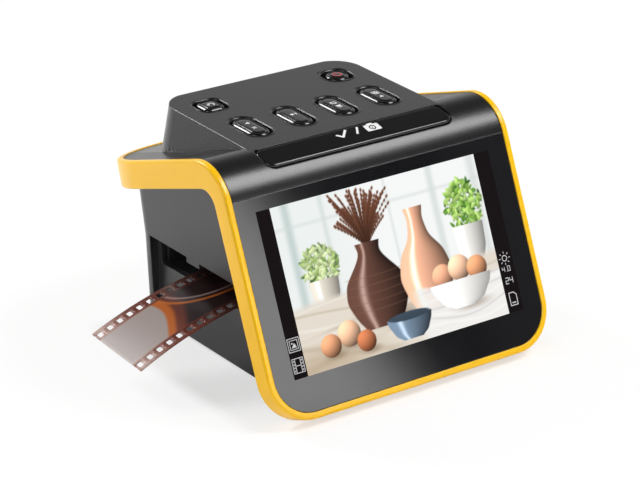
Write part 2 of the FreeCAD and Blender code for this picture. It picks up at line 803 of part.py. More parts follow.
def make_body_shell():
    """Flaring lower housing with a finger bay, a keyed film slot and socket openings."""
    outer = cut("ShellOuter", housing("ShellOutside", "0"),
                fuse("ShellBays", [bay("BayLeft", "-", "0"), bay("BayRight", "", "0")]))
    floor = prism("ShellFloor", rectangle("Sheet.farReach", "-Sheet.farReach", "Sheet.farReach"), GROUND,
                  "0", "Sheet.shellBottom + Sheet.shellFloor")
    wall = "Sheet.shellWall"
    solid_parts = [floor, bay("BayWallLeft", "-", wall), bay("BayWallRight", "", wall)]
    inner = cut("ShellInner", housing("ShellInside", wall), fuse("ShellSolidParts", solid_parts))
    walls = cut("ShellWalls", outer, inner)
    limit = skin_solid("ShellLimit", "Sheet.wingFrontDepth + Sheet.fitGap", "Sheet.wingShelfDepth",
                       "Sheet.wingInnerBend")
    trimmed = common("ShellTrimmed", [walls, limit])
    slot = side_solid("ShellSlot", [
        ("Sheet.slotFrontY", "Sheet.slotBottomZ", "Sheet.slotCorner"),
        ("Sheet.slotBackY", "Sheet.slotBottomZ", "Sheet.slotCorner"),
        ("Sheet.slotBackY", "Sheet.slotTopZ", ""),
        ("Sheet.slotFrontY", "Sheet.slotTopZ", ""),
    ], f"2 * {BAY_X} + Sheet.shellWall")
    base_seat = prism("ShellBaseSeat", base_plan("0"), GROUND,
                      "-Sheet.overrun", "Sheet.shellBottom + Sheet.baseThickness")
    base_opening = prism("ShellBaseOpening", base_plan("Sheet.baseLedge", ""), GROUND,
                         "0", "Sheet.shellBottom + 2 * Sheet.shellFloor")
    tools = [slot, base_seat, base_opening, *socket_holes()]
    return keep("body_shell", cut("Shell", trimmed, fuse("ShellTools", tools)))


def base_plan(inset, corner="Sheet.baseCorner"):
    return span(f"({inset}) - Sheet.baseHalfWidth", f"Sheet.baseHalfWidth - ({inset})",
                f"Sheet.baseFrontY + ({inset})", f"Sheet.baseBackY - ({inset})", corner)


def socket_places():
    """Across, width, height and depth of each socket at the back."""
    across = {"power": "(Sheet.powerFromEnd - Sheet.mainBoardWidth / 2)",
              "video": "Sheet.videoAcross", "card": "Sheet.cardAcross"}
    return {name: (place, *[f"Sheet.{name}{side}" for side in ("Width", "Height", "Depth")])
            for name, place in across.items()}


BOARD_TOP = "Sheet.mainBoardZ + Sheet.boardThickness"


def socket_holes():
    """Openings in the back wall, one gap wider than the sockets."""
    holes = []
    for name, (across, width, height, depth) in socket_places().items():
        hole = prism(f"{name}Hole",
                     block(across, "Sheet.shellWaistBackY",
                           f"{width} + 2 * Sheet.socketGap", "Sheet.overrun"),
                     GROUND, f"{BOARD_TOP} - Sheet.socketGap", f"{BOARD_TOP} + {height} + Sheet.socketGap")
        holes.append(hole)
    return holes


def make_base():
    """Base plate in its recess, and four rubber feet."""
    plate = new_body("base_plate")
    pad(plate, "BasePad", [base_plan("Sheet.baseGap")],
        "Sheet.shellBottom", "Sheet.shellBottom + Sheet.baseThickness")
    spots = [(f"{sign}Sheet.footAcross", along)
             for sign in ("-", "") for along in ("Sheet.footFrontY", "Sheet.footBackY")]
    for number, (across, along) in enumerate(spots, start=1):
        foot = new_body(f"rubber_foot_{number}")
        pad(foot, f"Foot{number}",
            [block(across, along, "Sheet.footSize", "Sheet.footSize", "Sheet.footCorner")],
            "0", "Sheet.shellBottom")


# Film path
def film_spot(along, across):
    """Place and turn of a spot on the film: flat in the tray, then curling down over a skewed line."""
    line, outwards, skewed = film_bend()
    flat = Vector(-along, size("filmCentreY") + across, size("filmZ"))
    reach = (flat - line).dot(outwards)
    if reach <= 0:
        return Placement(flat, Rotation())
    radius = size("filmBendRadius")
    turn = reach / radius
    level = flat + outwards * (radius * math.sin(turn) - reach)
    spot = level - Vector(0, 0, radius * (1 - math.cos(turn)))
    return Placement(spot, Rotation(outwards.cross(Vector(0, 0, -1)), math.degrees(turn)))


def film_bend():
    """The line where the film starts to curl, its outward direction and its own frame."""
    skew = math.radians(size("filmBendSkew"))
    line = Vector(size("filmBendX"), size("filmCentreY"), size("filmZ"))
    outwards = Vector(-math.cos(skew), -math.sin(skew), 0)
    along_line = Vector(math.sin(skew), -math.cos(skew), 0)
    return line, outwards, Placement(line, Rotation(outwards, along_line, Vector(0, 0, 1), "ZXY"))


def curled_sheet():
    """A wide sheet that is flat and then rolls down with one radius, in the bend line's frame."""
    half = size("filmThickness") / 2
    radius = size("filmBendRadius")
    reach = size("farReach")
    turn = (size("filmOuterLength") + size("overrun")) / radius
    hub = Vector(0, 0, -radius)

    def rim(offset, angle):
        return hub + Vector(math.sin(angle), 0, math.cos(angle)) * (radius + offset)

    inner_top = Vector(-reach, 0, half)
    inner_low = Vector(-reach, 0, -half)
    edges = [
        Part.LineSegment(inner_low, inner_top),
        Part.LineSegment(inner_top, rim(half, 0)),
        Part.Arc(rim(half, 0), rim(half, turn / 2), rim(half, turn)),
        Part.LineSegment(rim(half, turn), rim(-half, turn)),
        Part.Arc(rim(-half, turn), rim(-half, turn / 2), rim(-half, 0)),
        Part.LineSegment(rim(-half, 0), inner_low),
    ]
    face = Part.Face(Part.Wire([edge.toShape() for edge in edges]))
    face.translate(Vector(0, -reach, 0))
    return face.extrude(Vector(0, 2 * reach, 0))


def make_film_strip():
    """Perforated film strip that lies in the tray and hangs out at the left."""
    half_width = size("filmWidth") / 2
    outer = size("filmOuterLength")
    inner = -size("filmInnerX")
    sheet_shape = curled_sheet()
    sheet_shape.Placement = film_bend()[2]
    corners = [film_spot(along, across).Base
               for along, across in ((inner, -half_width), (inner, half_width),
                                     (outer, half_width), (outer, -half_width))]
    corners = [Vector(corner.x, corner.y, 0) for corner in corners]
    plan = Part.Face(Part.makePolygon(corners + corners[:1])).extrude(Vector(0, 0, size("farReach")))
    length = size("perforationLength")
    width = size("perforationWidth")
    deep = size("perforationDepth")
    row = half_width - size("perforationInset") - width / 2
    tools = []
    for step in range(int((outer - inner) / size("perforationPitch"))):
        along = outer - size("perforationFirst") - step * size("perforationPitch")
        for across in (-row, row):
            tool = Part.makeBox(length, width, deep, Vector(-length / 2, -width / 2, -deep / 2))
            tool.Placement = film_spot(along, across).multiply(tool.Placement)
            tools.append(tool)
    film = doc.addObject("Part::Feature", "FilmStrip")
    film.Shape = sheet_shape.common(plan).cut(tools)
    return keep("film_strip", film)


def film_window(margin):
    return block("0", "Sheet.filmCentreY",
                 f"Sheet.windowLength + 2 * ({margin})", f"Sheet.windowWidth + 2 * ({margin})")


def make_tray():
    """Film tray in two halves with a channel for the strip and a window on the light path."""
    gap = "Sheet.trayClearance"
    plan = span("-Sheet.trayHalfLength", "Sheet.trayHalfLength",
                f"Sheet.slotFrontY + {gap}", f"Sheet.slotBackY - {gap}", "Sheet.squareCornerRadius")
    base = new_body("tray_base")
    pad(base, "TrayBasePlate", [plan], "Sheet.trayBottomZ", "Sheet.traySplitZ")
    pocket(base, "TrayChannel",
           [block("0", "Sheet.filmCentreY", "2 * Sheet.trayHalfLength + Sheet.overrun",
                  "Sheet.filmWidth + 2 * Sheet.channelClearance")],
           "Sheet.traySplitZ", "Sheet.channelBottomZ")
    for name, low, high in (("Left", "-Sheet.trayHalfLength - Sheet.overrun", "-Sheet.reliefStart"),
                            ("Right", "Sheet.reliefStart", "Sheet.trayHalfLength + Sheet.overrun")):
        pocket(base, f"TrayRelief{name}",
               [span(low, high, "Sheet.filmCentreY - Sheet.filmWidth / 2 - Sheet.channelClearance",
                     "Sheet.filmCentreY + Sheet.filmWidth / 2 + Sheet.channelClearance")],
               "Sheet.channelBottomZ", "Sheet.channelBottomZ - Sheet.reliefDepth")
    pocket(base, "TrayBaseWindow", [film_window("0")], "Sheet.channelBottomZ", "Sheet.trayBottomZ")
    lid = new_body("tray_lid")
    pad(lid, "TrayLidPlate", [plan], "Sheet.traySplitZ", "Sheet.trayTopZ")
    pocket(lid, "TrayLidWindow", [film_window("0")], "Sheet.trayTopZ", "Sheet.traySplitZ")


TRACK_HALF = f"({BAY_X} - Sheet.shellWall - Sheet.trackEndGap)"


def make_track():
    """Trough that guides the tray between the two slots."""
    track = new_body("film_track")
    front = "Sheet.slotFrontY - Sheet.trackWall"
    back = "Sheet.slotBackY + Sheet.trackWall"
    pad(track, "TrackTrough", [span(f"-{TRACK_HALF}", TRACK_HALF, front, back)],
        "Sheet.trackBottomZ", "Sheet.trackTopZ")
    pocket(track, "TrackRun",
           [span(f"-{TRACK_HALF} - Sheet.overrun", f"{TRACK_HALF} + Sheet.overrun",
                 "Sheet.slotFrontY + Sheet.trackRail", "Sheet.slotBackY - Sheet.trackRail")],
           "Sheet.trackTopZ", "Sheet.trackFloorZ")
    pocket(track, "TrackWindow", [film_window("Sheet.trackWindowMargin")],
           "Sheet.trackFloorZ", "Sheet.trackBottomZ")


def light_plan(inset):
    return block("0", "Sheet.filmCentreY",
                 f"Sheet.lightLength - 2 * ({inset})", f"Sheet.lightWidth - 2 * ({inset})")


def make_light_box():
    """Open box with a board of lamps and a diffuser under the film window."""
    bottom = "Sheet.shellBottom + Sheet.baseThickness"
    floor = f"{bottom} + Sheet.lightWall"
    outside = light_plan("0")
    inside = light_plan("2 * Sheet.lightWall")
    seat = light_plan("Sheet.lightWall")
    box = new_body("light_box")
    pad(box, "LightBlock", [outside], bottom, "Sheet.trackBottomZ")
    pocket(box, "LightRoom", [inside], "Sheet.trackBottomZ", floor)
    pocket(box, "DiffuserSeat", [seat], "Sheet.trackBottomZ", "Sheet.trackBottomZ - Sheet.diffuserThickness")
    diffuser = new_body("light_diffuser")
    pad(diffuser, "DiffuserPlate", [light_plan("Sheet.lightWall + Sheet.fitGap")],
        "Sheet.trackBottomZ - Sheet.diffuserThickness", "Sheet.trackBottomZ")
    board = new_body("lamp_board")
    pad(board, "LampPlate", [light_plan("2 * Sheet.lightWall + Sheet.fitGap")],
        floor, f"{floor} + Sheet.ledBoardThickness")
    lamps = [block(f"{column} * Sheet.ledPitch", f"Sheet.filmCentreY + {line} * Sheet.ledPitch",
                   "Sheet.ledSize", "Sheet.ledSize")
             for column in (-1.5, -0.5, 0.5, 1.5) for line in (-1, 0, 1)]
    pad(board, "Lamps", lamps, f"{floor} + Sheet.ledBoardThickness - Sheet.fitGap",
        f"{floor} + Sheet.ledBoardThickness + Sheet.ledHeight")


def make_camera():
    """Chassis with the camera tower, lens holder, lens and sensor board."""
    centre = ("0", "Sheet.filmCentreY")
    low = "Sheet.trackTopZ"
    high = f"{low} + Sheet.chassisThickness"
    bore = "Sheet.towerSize - 2 * Sheet.towerWall"
    chassis = new_body("camera_chassis")
    pad(chassis, "ChassisPlate",
        [span(f"-{TRACK_HALF}", TRACK_HALF, "Sheet.slotFrontY - Sheet.trackWall",
              "Sheet.slotBackY + Sheet.trackWall")], low, high)
    pad(chassis, "Tower", [block(*centre, "Sheet.towerSize", "Sheet.towerSize")], low, "Sheet.towerTopZ")
    posts = [block(f"{sign}Sheet.standoffAcross", along, "Sheet.standoffSize", "Sheet.standoffSize")
             for sign in ("-", "") for along in ("Sheet.standoffFrontY", "Sheet.standoffBackY")]
    pad(chassis, "Standoffs", posts, low, "Sheet.mainBoardZ")
    pocket(chassis, "TowerBore", [block(*centre, bore, bore)], "Sheet.towerTopZ", low)
    holder_top = "Sheet.towerTopZ + Sheet.holderFlange"
    body = f"{bore} - 2 * Sheet.fitGap"
    holder = new_body("lens_holder")
    pad(holder, "HolderBody", [block(*centre, body, body)], "Sheet.holderBottomZ", holder_top)
    pad(holder, "HolderFlange", [block(*centre, "Sheet.towerSize", "Sheet.towerSize")],
        "Sheet.towerTopZ", holder_top)
    pocket(holder, "HolderBore", [(*centre, "Sheet.lensRadius")], holder_top, "Sheet.holderBottomZ")
    lens = new_body("scan_lens")
    lens_low = "Sheet.holderBottomZ + Sheet.lensLip"
    pad(lens, "LensDisc", [(*centre, "Sheet.lensRadius - Sheet.fitGap")],
        lens_low, f"{lens_low} + Sheet.lensThickness")
    board = new_body("sensor_board")
    pad(board, "SensorPlate", [block(*centre, "Sheet.sensorBoardSize", "Sheet.sensorBoardSize")],
        holder_top, f"{holder_top} + Sheet.sensorBoardThickness")
    chip = new_body("image_sensor")
    pad(chip, "SensorChip", [block(*centre, "Sheet.sensorChipSize", "Sheet.sensorChipSize")],
        f"{holder_top} - Sheet.sensorChipThickness", holder_top)


def make_main_board():
    """Main circuit board on its standoffs, with the sockets that show at the back."""
    board = new_body("main_board")
    half = "Sheet.mainBoardWidth / 2"
    pad(board, "MainPlate", [span(f"-{half}", half, "Sheet.mainBoardFrontY", "Sheet.mainBoardBackY")],
        "Sheet.mainBoardZ", BOARD_TOP)
    chip = new_body("processor")
    pad(chip, "ProcessorBlock",
        [block("Sheet.videoAcross", "Sheet.mainBoardFrontY + Sheet.processorSize / 2 + Sheet.shellWall",
               "Sheet.processorSize", "Sheet.processorSize")],
        BOARD_TOP, f"{BOARD_TOP} + Sheet.processorThickness")
    for name, (across, width, height, depth) in socket_places().items():
        socket = new_body(f"{name}_socket")
        back = "Sheet.socketBackY"
        front = f"{back} - {depth}"
        pad(socket, f"{name}Shell",
            [span(f"{across} - {width} / 2", f"{across} + {width} / 2", front, back)],
            BOARD_TOP, f"{BOARD_TOP} + {height}")
        wall = "Sheet.socketWall"
        sketch_low = f"{BOARD_TOP} + {wall}"
        sketch_high = f"{BOARD_TOP} + {height} - {wall}"
        pocket_room = body_sketch(socket, f"{name}RoomSketch", sketch_high)
        outline(pocket_room, span(f"{across} - {width} / 2 + {wall}", f"{across} + {width} / 2 - {wall}",
                                  f"{front} + {wall}", f"{back} + {wall}"))
        room = socket.newObject("PartDesign::Pocket", f"{name}Room")
        room.Profile = pocket_room
        room.setExpression("Length", f"({sketch_high}) - ({sketch_low})")
        tongue_top = f"{BOARD_TOP} + {height} / 2 + {wall}"
        pad(socket, f"{name}Tongue",
            [span(f"{across} - {width} / 2 + 4 * {wall}", f"{across} + {width} / 2 - 4 * {wall}",
                  front, f"{back} - 4 * {wall}")],
            f"{BOARD_TOP} + {height} / 2 - {wall}", tongue_top)


make_trim_band()
make_top_cover()
make_front_glass()
make_display()
make_wing_frame()
make_body_shell()
make_base()
make_ok_bar()
for node, place in key_places().items():
    make_key(node, place)
make_key_board()
make_film_strip()
make_tray()
make_track()
make_light_box()
make_camera()
make_main_board()
doc.recompute()

for thing in doc.Objects:
    if "Invalid" in thing.State or "Error" in thing.State:
        raise RuntimeError(f"{thing.Label} did not build: {thing.State}")
os.makedirs("parts", exist_ok=True)
for piece in pieces:
    shape = piece.Shape
    if shape.isNull() or not shape.isValid() or not shape.Solids:
        raise RuntimeError(f"{piece.Label} has no valid solid")
    shape.exportStep(f"parts/{piece.Label}.step")
    print(f"{piece.Label}: {len(shape.Solids)} solid, {shape.Volume:.0f} cubic mm")
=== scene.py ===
import math

import bmesh
import bpy
import numpy as np
from mathutils import Matrix, Vector


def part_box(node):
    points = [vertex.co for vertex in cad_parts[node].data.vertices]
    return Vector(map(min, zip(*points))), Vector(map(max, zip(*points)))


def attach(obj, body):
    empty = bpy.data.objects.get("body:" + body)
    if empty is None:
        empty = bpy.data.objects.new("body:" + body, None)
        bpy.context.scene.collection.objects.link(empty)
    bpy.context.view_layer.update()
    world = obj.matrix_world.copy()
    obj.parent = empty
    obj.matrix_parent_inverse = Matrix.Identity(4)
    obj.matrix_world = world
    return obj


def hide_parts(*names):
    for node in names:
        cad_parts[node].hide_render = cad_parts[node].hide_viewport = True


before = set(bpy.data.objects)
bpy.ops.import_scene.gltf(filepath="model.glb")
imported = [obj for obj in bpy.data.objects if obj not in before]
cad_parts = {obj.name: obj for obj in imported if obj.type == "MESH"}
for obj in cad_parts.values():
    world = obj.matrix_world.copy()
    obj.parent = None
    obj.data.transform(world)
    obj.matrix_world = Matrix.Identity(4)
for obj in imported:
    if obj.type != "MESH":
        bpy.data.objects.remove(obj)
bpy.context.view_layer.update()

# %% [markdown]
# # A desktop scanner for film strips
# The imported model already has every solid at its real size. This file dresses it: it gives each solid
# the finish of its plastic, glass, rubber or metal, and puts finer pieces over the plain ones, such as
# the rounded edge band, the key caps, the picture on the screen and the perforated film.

MM = 0.001
print("nodes:", len(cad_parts))

# %% [markdown]
# ## Colours
# Colours are read off a product as sRGB hex values, but a shader mixes light, which is linear. One
# function turns the first into the second, for a single colour as for a whole painted picture.

# %% From hex values to light
def tone(code):
    """A hex value as three sRGB levels from 0 to 1."""
    return np.array([int(code[start:start + 2], 16) / 255 for start in (1, 3, 5)])


def to_light(levels):
    """sRGB levels as linear light."""
    return np.where(levels <= 0.04045, levels / 12.92, ((levels + 0.055) / 1.055) ** 2.4)


def linear(code, share=1.0):
    """A hex value, or a share of its light, as linear red, green, blue and alpha."""
    return (*(share * to_light(tone(code))).tolist(), 1.0)


print("middle grey in linear light:", [round(c, 3) for c in linear("#808080")])

# %% [markdown]
# ## Shader nodes
# A material is a graph of nodes. It could be drawn by hand in the editor, but a script keeps it with
# the model. One function adds a node with its settings and links, so that a material reads as a list
# of what feeds what. Two colours that wander into each other in soft clouds keep a surface from
# looking computed, so that mixture has its own function.

# %% Node helpers
def add(tree, kind, inputs=None, **settings):
    """Add a node. An input is a value, an output socket, or a node whose first output feeds it."""
    made = tree.nodes.new(kind)
    for key, setting in settings.items():
        setattr(made, key, setting)
    for key, given in (inputs or {}).items():
        given = given.outputs[0] if isinstance(given, bpy.types.Node) else given
        if isinstance(given, bpy.types.NodeSocket):
            tree.links.new(given, made.inputs[key])
        else:
            made.inputs[key].default_value = given
    return made


def new_material(name):
    """An empty material, its node tree, and the socket that says where a point is, in metres."""
    material = bpy.data.materials.new(name)
    material.use_nodes = True
    tree = material.node_tree
    tree.nodes.clear()
    return material, tree, add(tree, "ShaderNodeTexCoord").outputs["Object"]


def finish_material(material, shader):
    """Connect the last shader to the material's output."""
    add(material.node_tree, "ShaderNodeOutputMaterial", {"Surface": shader})
    return material


def mottled(tree, place, size, first, second, detail=2.0):
    """One colour that wanders into another, in clouds of a size in mm."""
    cloud = add(tree, "ShaderNodeTexNoise", {"Vector": place, "Scale": 1 / (size * MM),
                                             "Detail": detail})
    return add(tree, "ShaderNodeMixRGB", {"Fac": cloud, "Color1": first, "Color2": second})


print("helpers:", [helper.__name__ for helper in (add, new_material, finish_material, mottled)])

# %% [markdown]
# ## Moulded plastics
# Most of the scanner is injection moulded ABS. The mould is spark eroded, which leaves a fine, even
# grain: it breaks up the shine and scatters it, so the plastic looks satin. A real grain is about
# 0.1 mm and too fine to show here, so it is drawn about four times as coarse and very shallow. A small
# rounding of the normals stands for the tool's edge radius, because no moulded edge is truly sharp.

# %% Moulded ABS
EDGE = 0.35
EDGE_SAMPLES = 6
CLOUDS = 40
ABS_GRAIN = 0.45


def moulded(name, colour, roughness, grain=ABS_GRAIN, depth=0.004, ior=1.53):
    """Satin or gloss plastic with a spark eroded grain and softened edges, sizes in mm."""
    material, tree, place = new_material(name)
    pits = add(tree, "ShaderNodeTexNoise", {"Vector": place, "Scale": 1 / (grain * MM), "Detail": 2.0})
    tint = mottled(tree, place, CLOUDS, linear(colour), linear(colour, 0.93), detail=1.0)
    soft = add(tree, "ShaderNodeBevel", {"Radius": EDGE * MM}, samples=EDGE_SAMPLES)
    bump = add(tree, "ShaderNodeBump", {"Height": pits, "Distance": depth * MM, "Normal": soft})
    spread = add(tree, "ShaderNodeMapRange", {"Value": pits, "To Min": roughness - 0.05,
                                              "To Max": roughness + 0.05})
    return finish_material(material, add(tree, "ShaderNodeBsdfPrincipled", {
        "Base Color": tint, "Roughness": spread, "Normal": bump, "IOR": ior}))


# From a polished mould: a clear, warm shine, and a thin light line along each edge
yellow_abs = moulded("polished_yellow_ABS", "#F4BC00", 0.3, grain=1.2, depth=0.0012, ior=1.46)
# Black with a satin grain: the eye sees the white floor in it, as an even grey
housing_abs = moulded("satin_black_ABS", "#2B2B2D", 0.32)
# Inner mouldings as they leave the tool: dull, and darker than the housing as painted shade, so that
# slots look deep
inner_abs = moulded("plain_black_ABS", "#1B1B1D", 0.6)
# The lamp box is white inside, to throw its light forward: it looks soft and even
white_abs = moulded("white_ABS_of_the_lamp_box", "#E6E5E0", 0.55)
# Rubber takes light in and gives no shine, only a pale bloom
foot_rubber = moulded("moulded_rubber", "#242426", 0.8, grain=0.6, depth=0.01)
# Nylon is a little waxy, between dull and satin
switch_body = moulded("black_nylon_of_the_switches", "#202022", 0.5)
print("moulded:", [m.name for m in (yellow_abs, housing_abs, inner_abs, white_abs)])
print("also moulded:", foot_rubber.name, switch_body.name)

# %% [markdown]
# ## The ribbed cover
# The top cover is the same plastic with one thing more: beside the key island its shelf has fine
# ribs across, 2.8 mm apart, that give the fingers a grip. They could be cut as geometry, but at
# 0.15 mm deep they only show as lines, so they are a bump that fades out outside the two wings.

# %% Cover plastic
RIB_PITCH = 2.8
RIB_DEPTH = 0.15
WING_START, WING_FADE = 46.5, 0.6
SHELF_START, SHELF_FADE = -4.0, 0.5
DOWN_THE_SHELF = (0.0, 0.9513, -0.3082)
COVER_EDGE = 0.8
COVER_GRAIN_DEPTH = 0.003


def cover_material():
    """Dark grained ABS with ribs on the shelf beside the island: satin, with a soft lit bend."""
    material, tree, place = new_material("grained_dark_grey_ABS")
    axes = add(tree, "ShaderNodeSeparateXYZ", {0: place}).outputs
    along = add(tree, "ShaderNodeVectorMath", {0: place, 1: DOWN_THE_SHELF}, operation="DOT_PRODUCT")
    angle = add(tree, "ShaderNodeMath", {0: along.outputs["Value"], 1: 2 * math.pi / (RIB_PITCH * MM)},
                operation="MULTIPLY")
    wave = add(tree, "ShaderNodeMath", {0: angle}, operation="SINE")
    aside = add(tree, "ShaderNodeMath", {0: axes["X"]}, operation="ABSOLUTE")
    wings = add(tree, "ShaderNodeMapRange", {"Value": aside, "From Min": WING_START * MM,
                                             "From Max": (WING_START + WING_FADE) * MM})
    shelf = add(tree, "ShaderNodeMapRange", {"Value": axes["Y"], "From Min": SHELF_START * MM,
                                             "From Max": (SHELF_START + SHELF_FADE) * MM})
    ribs = add(tree, "ShaderNodeMath", {0: wave, 1: wings}, operation="MULTIPLY")
    ribs = add(tree, "ShaderNodeMath", {0: ribs, 1: shelf}, operation="MULTIPLY")
    pits = add(tree, "ShaderNodeTexNoise", {"Vector": place, "Scale": 1 / (ABS_GRAIN * MM),
                                            "Detail": 2.0})
    soft = add(tree, "ShaderNodeBevel", {"Radius": COVER_EDGE * MM}, samples=8)
    fine = add(tree, "ShaderNodeBump", {"Height": pits, "Distance": COVER_GRAIN_DEPTH * MM,
                                        "Normal": soft})
    coarse = add(tree, "ShaderNodeBump", {"Height": ribs, "Distance": RIB_DEPTH * MM, "Normal": fine})
    spread = add(tree, "ShaderNodeMapRange", {"Value": pits, "To Min": 0.25, "To Max": 0.32})
    return finish_material(material, add(tree, "ShaderNodeBsdfPrincipled", {
        "Base Color": linear("#111112"), "Roughness": spread, "IOR": 1.48, "Normal": coarse}))


cover_abs = cover_material()
print("ribs", RIB_PITCH, "mm apart on", cover_abs.name)

# %% [markdown]
# ## Glossy black parts
# The front panel is one sheet of clear acrylic, printed black from behind and left clear over the
# display. The keys and the long bar are ABS under a clear lacquer. Both look black, and what the eye
# sees of them is the room: sharp in the acrylic, a little soft in the lacquer.

# %% Acrylic panel, lacquered keys
RIPPLE = 6
RIPPLE_DEPTH = 0.002


def glossy(name, colour, roughness, ior):
    """A black part whose look is all reflection, with a faint ripple of the moulding."""
    material, tree, place = new_material(name)
    ripple = add(tree, "ShaderNodeTexNoise", {"Vector": place, "Scale": 1 / (RIPPLE * MM),
                                              "Detail": 1.0})
    soft = add(tree, "ShaderNodeBevel", {"Radius": EDGE * MM}, samples=EDGE_SAMPLES)
    bump = add(tree, "ShaderNodeBump", {"Height": ripple, "Distance": RIPPLE_DEPTH * MM,
                                        "Normal": soft})
    spread = add(tree, "ShaderNodeMapRange", {"Value": ripple, "To Min": roughness * 0.8,
                                              "To Max": roughness * 1.2})
    return finish_material(material, add(tree, "ShaderNodeBsdfPrincipled", {
        "Base Color": linear(colour), "Roughness": spread, "IOR": ior, "Normal": bump}))


# Clear acrylic over black print: a dark mirror, in which the room fades from grey to black
panel_acrylic = glossy("back_printed_acrylic", "#161618", 0.1, 1.49)
# Lacquer over black: the deepest black here, with short bright lines where an edge turns
key_lacquer = glossy("lacquered_black_ABS", "#070708", 0.18, 1.53)
print("glossy parts:", panel_acrylic.name, key_lacquer.name)

# %% [markdown]
# ## Boards, metal and glass
# Circuit boards have a green solder mask with copper tracks under it, sockets are nickel plated steel,
# and the scan lens is clear glass. Photographs of them could be wrapped round, but patterns worked
# out from real sizes need no files and stay sharp. None of them shows much, so each has only what
# makes the eye believe it: faint tracks, a rolled grain, a slight haze.

# %% Board, plated steel and lens
BRICK_WIDTH = 9


def board_material():
    """Circuit board: a soft green gloss over faint copper tracks."""
    material, tree, place = new_material("solder_masked_board")
    tracks = add(tree, "ShaderNodeTexBrick", {
        "Vector": place, "Scale": 1 / (BRICK_WIDTH * MM), "Color1": linear("#1E5B37"),
        "Color2": linear("#256B41"), "Mortar": linear("#184A2C"), "Mortar Size": 0.03})
    return finish_material(material, add(tree, "ShaderNodeBsdfPrincipled", {
        "Base Color": tracks, "Roughness": 0.35, "IOR": 1.55}))


def metal_material(name, colour, roughness):
    """Plated sheet metal: a cool shine, drawn out by a rolled grain 0.3 mm across."""
    material, tree, place = new_material(name)
    stretched = add(tree, "ShaderNodeMapping", {"Vector": place, "Scale": (1.0, 8.0, 8.0)})
    grain = add(tree, "ShaderNodeTexNoise", {"Vector": stretched, "Scale": 1 / (2.4 * MM)})
    spread = add(tree, "ShaderNodeMapRange", {"Value": grain, "To Min": roughness - 0.06,
                                              "To Max": roughness + 0.06})
    return finish_material(material, add(tree, "ShaderNodeBsdfPrincipled", {
        "Base Color": linear(colour), "Metallic": 1.0, "Roughness": spread}))


def lens_material():
    """Clear lens glass with a faint blue tint from its coating."""
    material, tree, place = new_material("coated_lens_glass")
    haze = add(tree, "ShaderNodeTexNoise", {"Vector": place, "Scale": 1 / (3 * MM)})
    spread = add(tree, "ShaderNodeMapRange", {"Value": haze, "To Min": 0.02, "To Max": 0.05})
    return finish_material(material, add(tree, "ShaderNodeBsdfPrincipled", {
        "Base Color": linear("#DDE6F0"), "Transmission Weight": 1.0, "IOR": 1.52,
        "Roughness": spread}))


board_green = board_material()
socket_nickel = metal_material("nickel_plated_steel", "#B9B8B4", 0.3)
lens_glass = lens_material()
print("other materials:", [m.name for m in (board_green, socket_nickel, lens_glass)])

# %% [markdown]
# ## Dressing the solids
# A solid whose shape is right keeps its mesh and only gets its material, in the slot that it already
# has. Everything out of sight gets one as well, because the tray can slide out and show it.

# %% One material for each solid
DRESS = {
    cover_abs: ["top_cover"],
    housing_abs: ["body_shell"],
    inner_abs: ["wing_frame", "front_frame", "base_plate", "film_track", "tray_base", "tray_lid",
                "camera_chassis", "lens_holder", "processor", "image_sensor", "lcd_panel"],
    white_abs: ["light_box", "light_diffuser"],
    panel_acrylic: ["front_glass"],
    foot_rubber: [f"rubber_foot_{number}" for number in (1, 2, 3, 4)],
    switch_body: ["key_switches"],
    board_green: ["key_board", "lamp_board", "main_board", "sensor_board"],
    socket_nickel: ["power_socket", "video_socket", "card_socket"],
    lens_glass: ["scan_lens"],
}
for material, names in DRESS.items():
    for name in names:
        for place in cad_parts[name].material_slots:
            place.material = material
print("dressed solids:", sum(len(names) for names in DRESS.values()))

# %% [markdown]
# ## Where things are
# The scanner has four slanted faces that carry detail: the leaning panel, the falling shelf, the key
# island and the confirm bar. Each gets a frame, so that a key can be placed by its distance across and
# along the face, in millimetres, and not by sums in the room's axes.

# %% Frames of the slanted faces
LEAN = 22.6
SLOPE = 17.95
SWEEP = 90 - LEAN + SLOPE
PANEL_FOOT = (0.0, -60.0, 6.0)
GLASS_WIDTH = 126.6
GLASS_HEIGHT = 82.2
GLASS_CORNER = 15.0
BEND = 18.0
SHELF_LENGTH = 106.0
SHELF_CORNER = 44.0
ISLAND_TILT = 1.2
BAR_TILT = 14.0


def side_view(degrees):
    """A direction seen from the side, as back and up, so many degrees up from the front."""
    return Vector((-math.cos(math.radians(degrees)), math.sin(math.radians(degrees))))


def face_frame(origin, tilt):
    """A frame at an origin in mm, turned about the X axis by a tilt in degrees."""
    return Matrix.Translation(Vector(origin) * MM) @ Matrix.Rotation(math.radians(tilt), 4, "X")


def spot(face, across, along, above=0.0):
    """A place on a face, given in mm, as a point in metres."""
    return face @ (Vector((across, along, above)) * MM)


PANEL = face_frame(PANEL_FOOT, 90 - LEAN)
PANEL_END = GLASS_HEIGHT + BEND * math.tan(math.radians(SWEEP) / 2)
SHELF = face_frame(spot(PANEL, 0.0, PANEL_END) / MM, -SLOPE)
BEND_CENTRE = spot(PANEL, 0.0, GLASS_HEIGHT, -BEND)
ISLAND_FRONT = BEND_CENTRE / MM + Vector((0.0, *side_view(90 - ISLAND_TILT))) * BEND
ISLAND = face_frame(ISLAND_FRONT, ISLAND_TILT)
BAR = face_frame(ISLAND_FRONT, BAR_TILT)
print("island starts at", [round(c, 2) for c in ISLAND_FRONT])

# %% [markdown]
# ## Meshes from rings
# Moulded shapes are mostly outlines that change a little from level to level. A ring is one such
# outline as a list of points, and a skin through rings of equal length makes the solid. This keeps
# every edge where it was meant to be, which a boolean or a sculpt does not.

# %% Rings and skins
CORNER_STEPS = 8


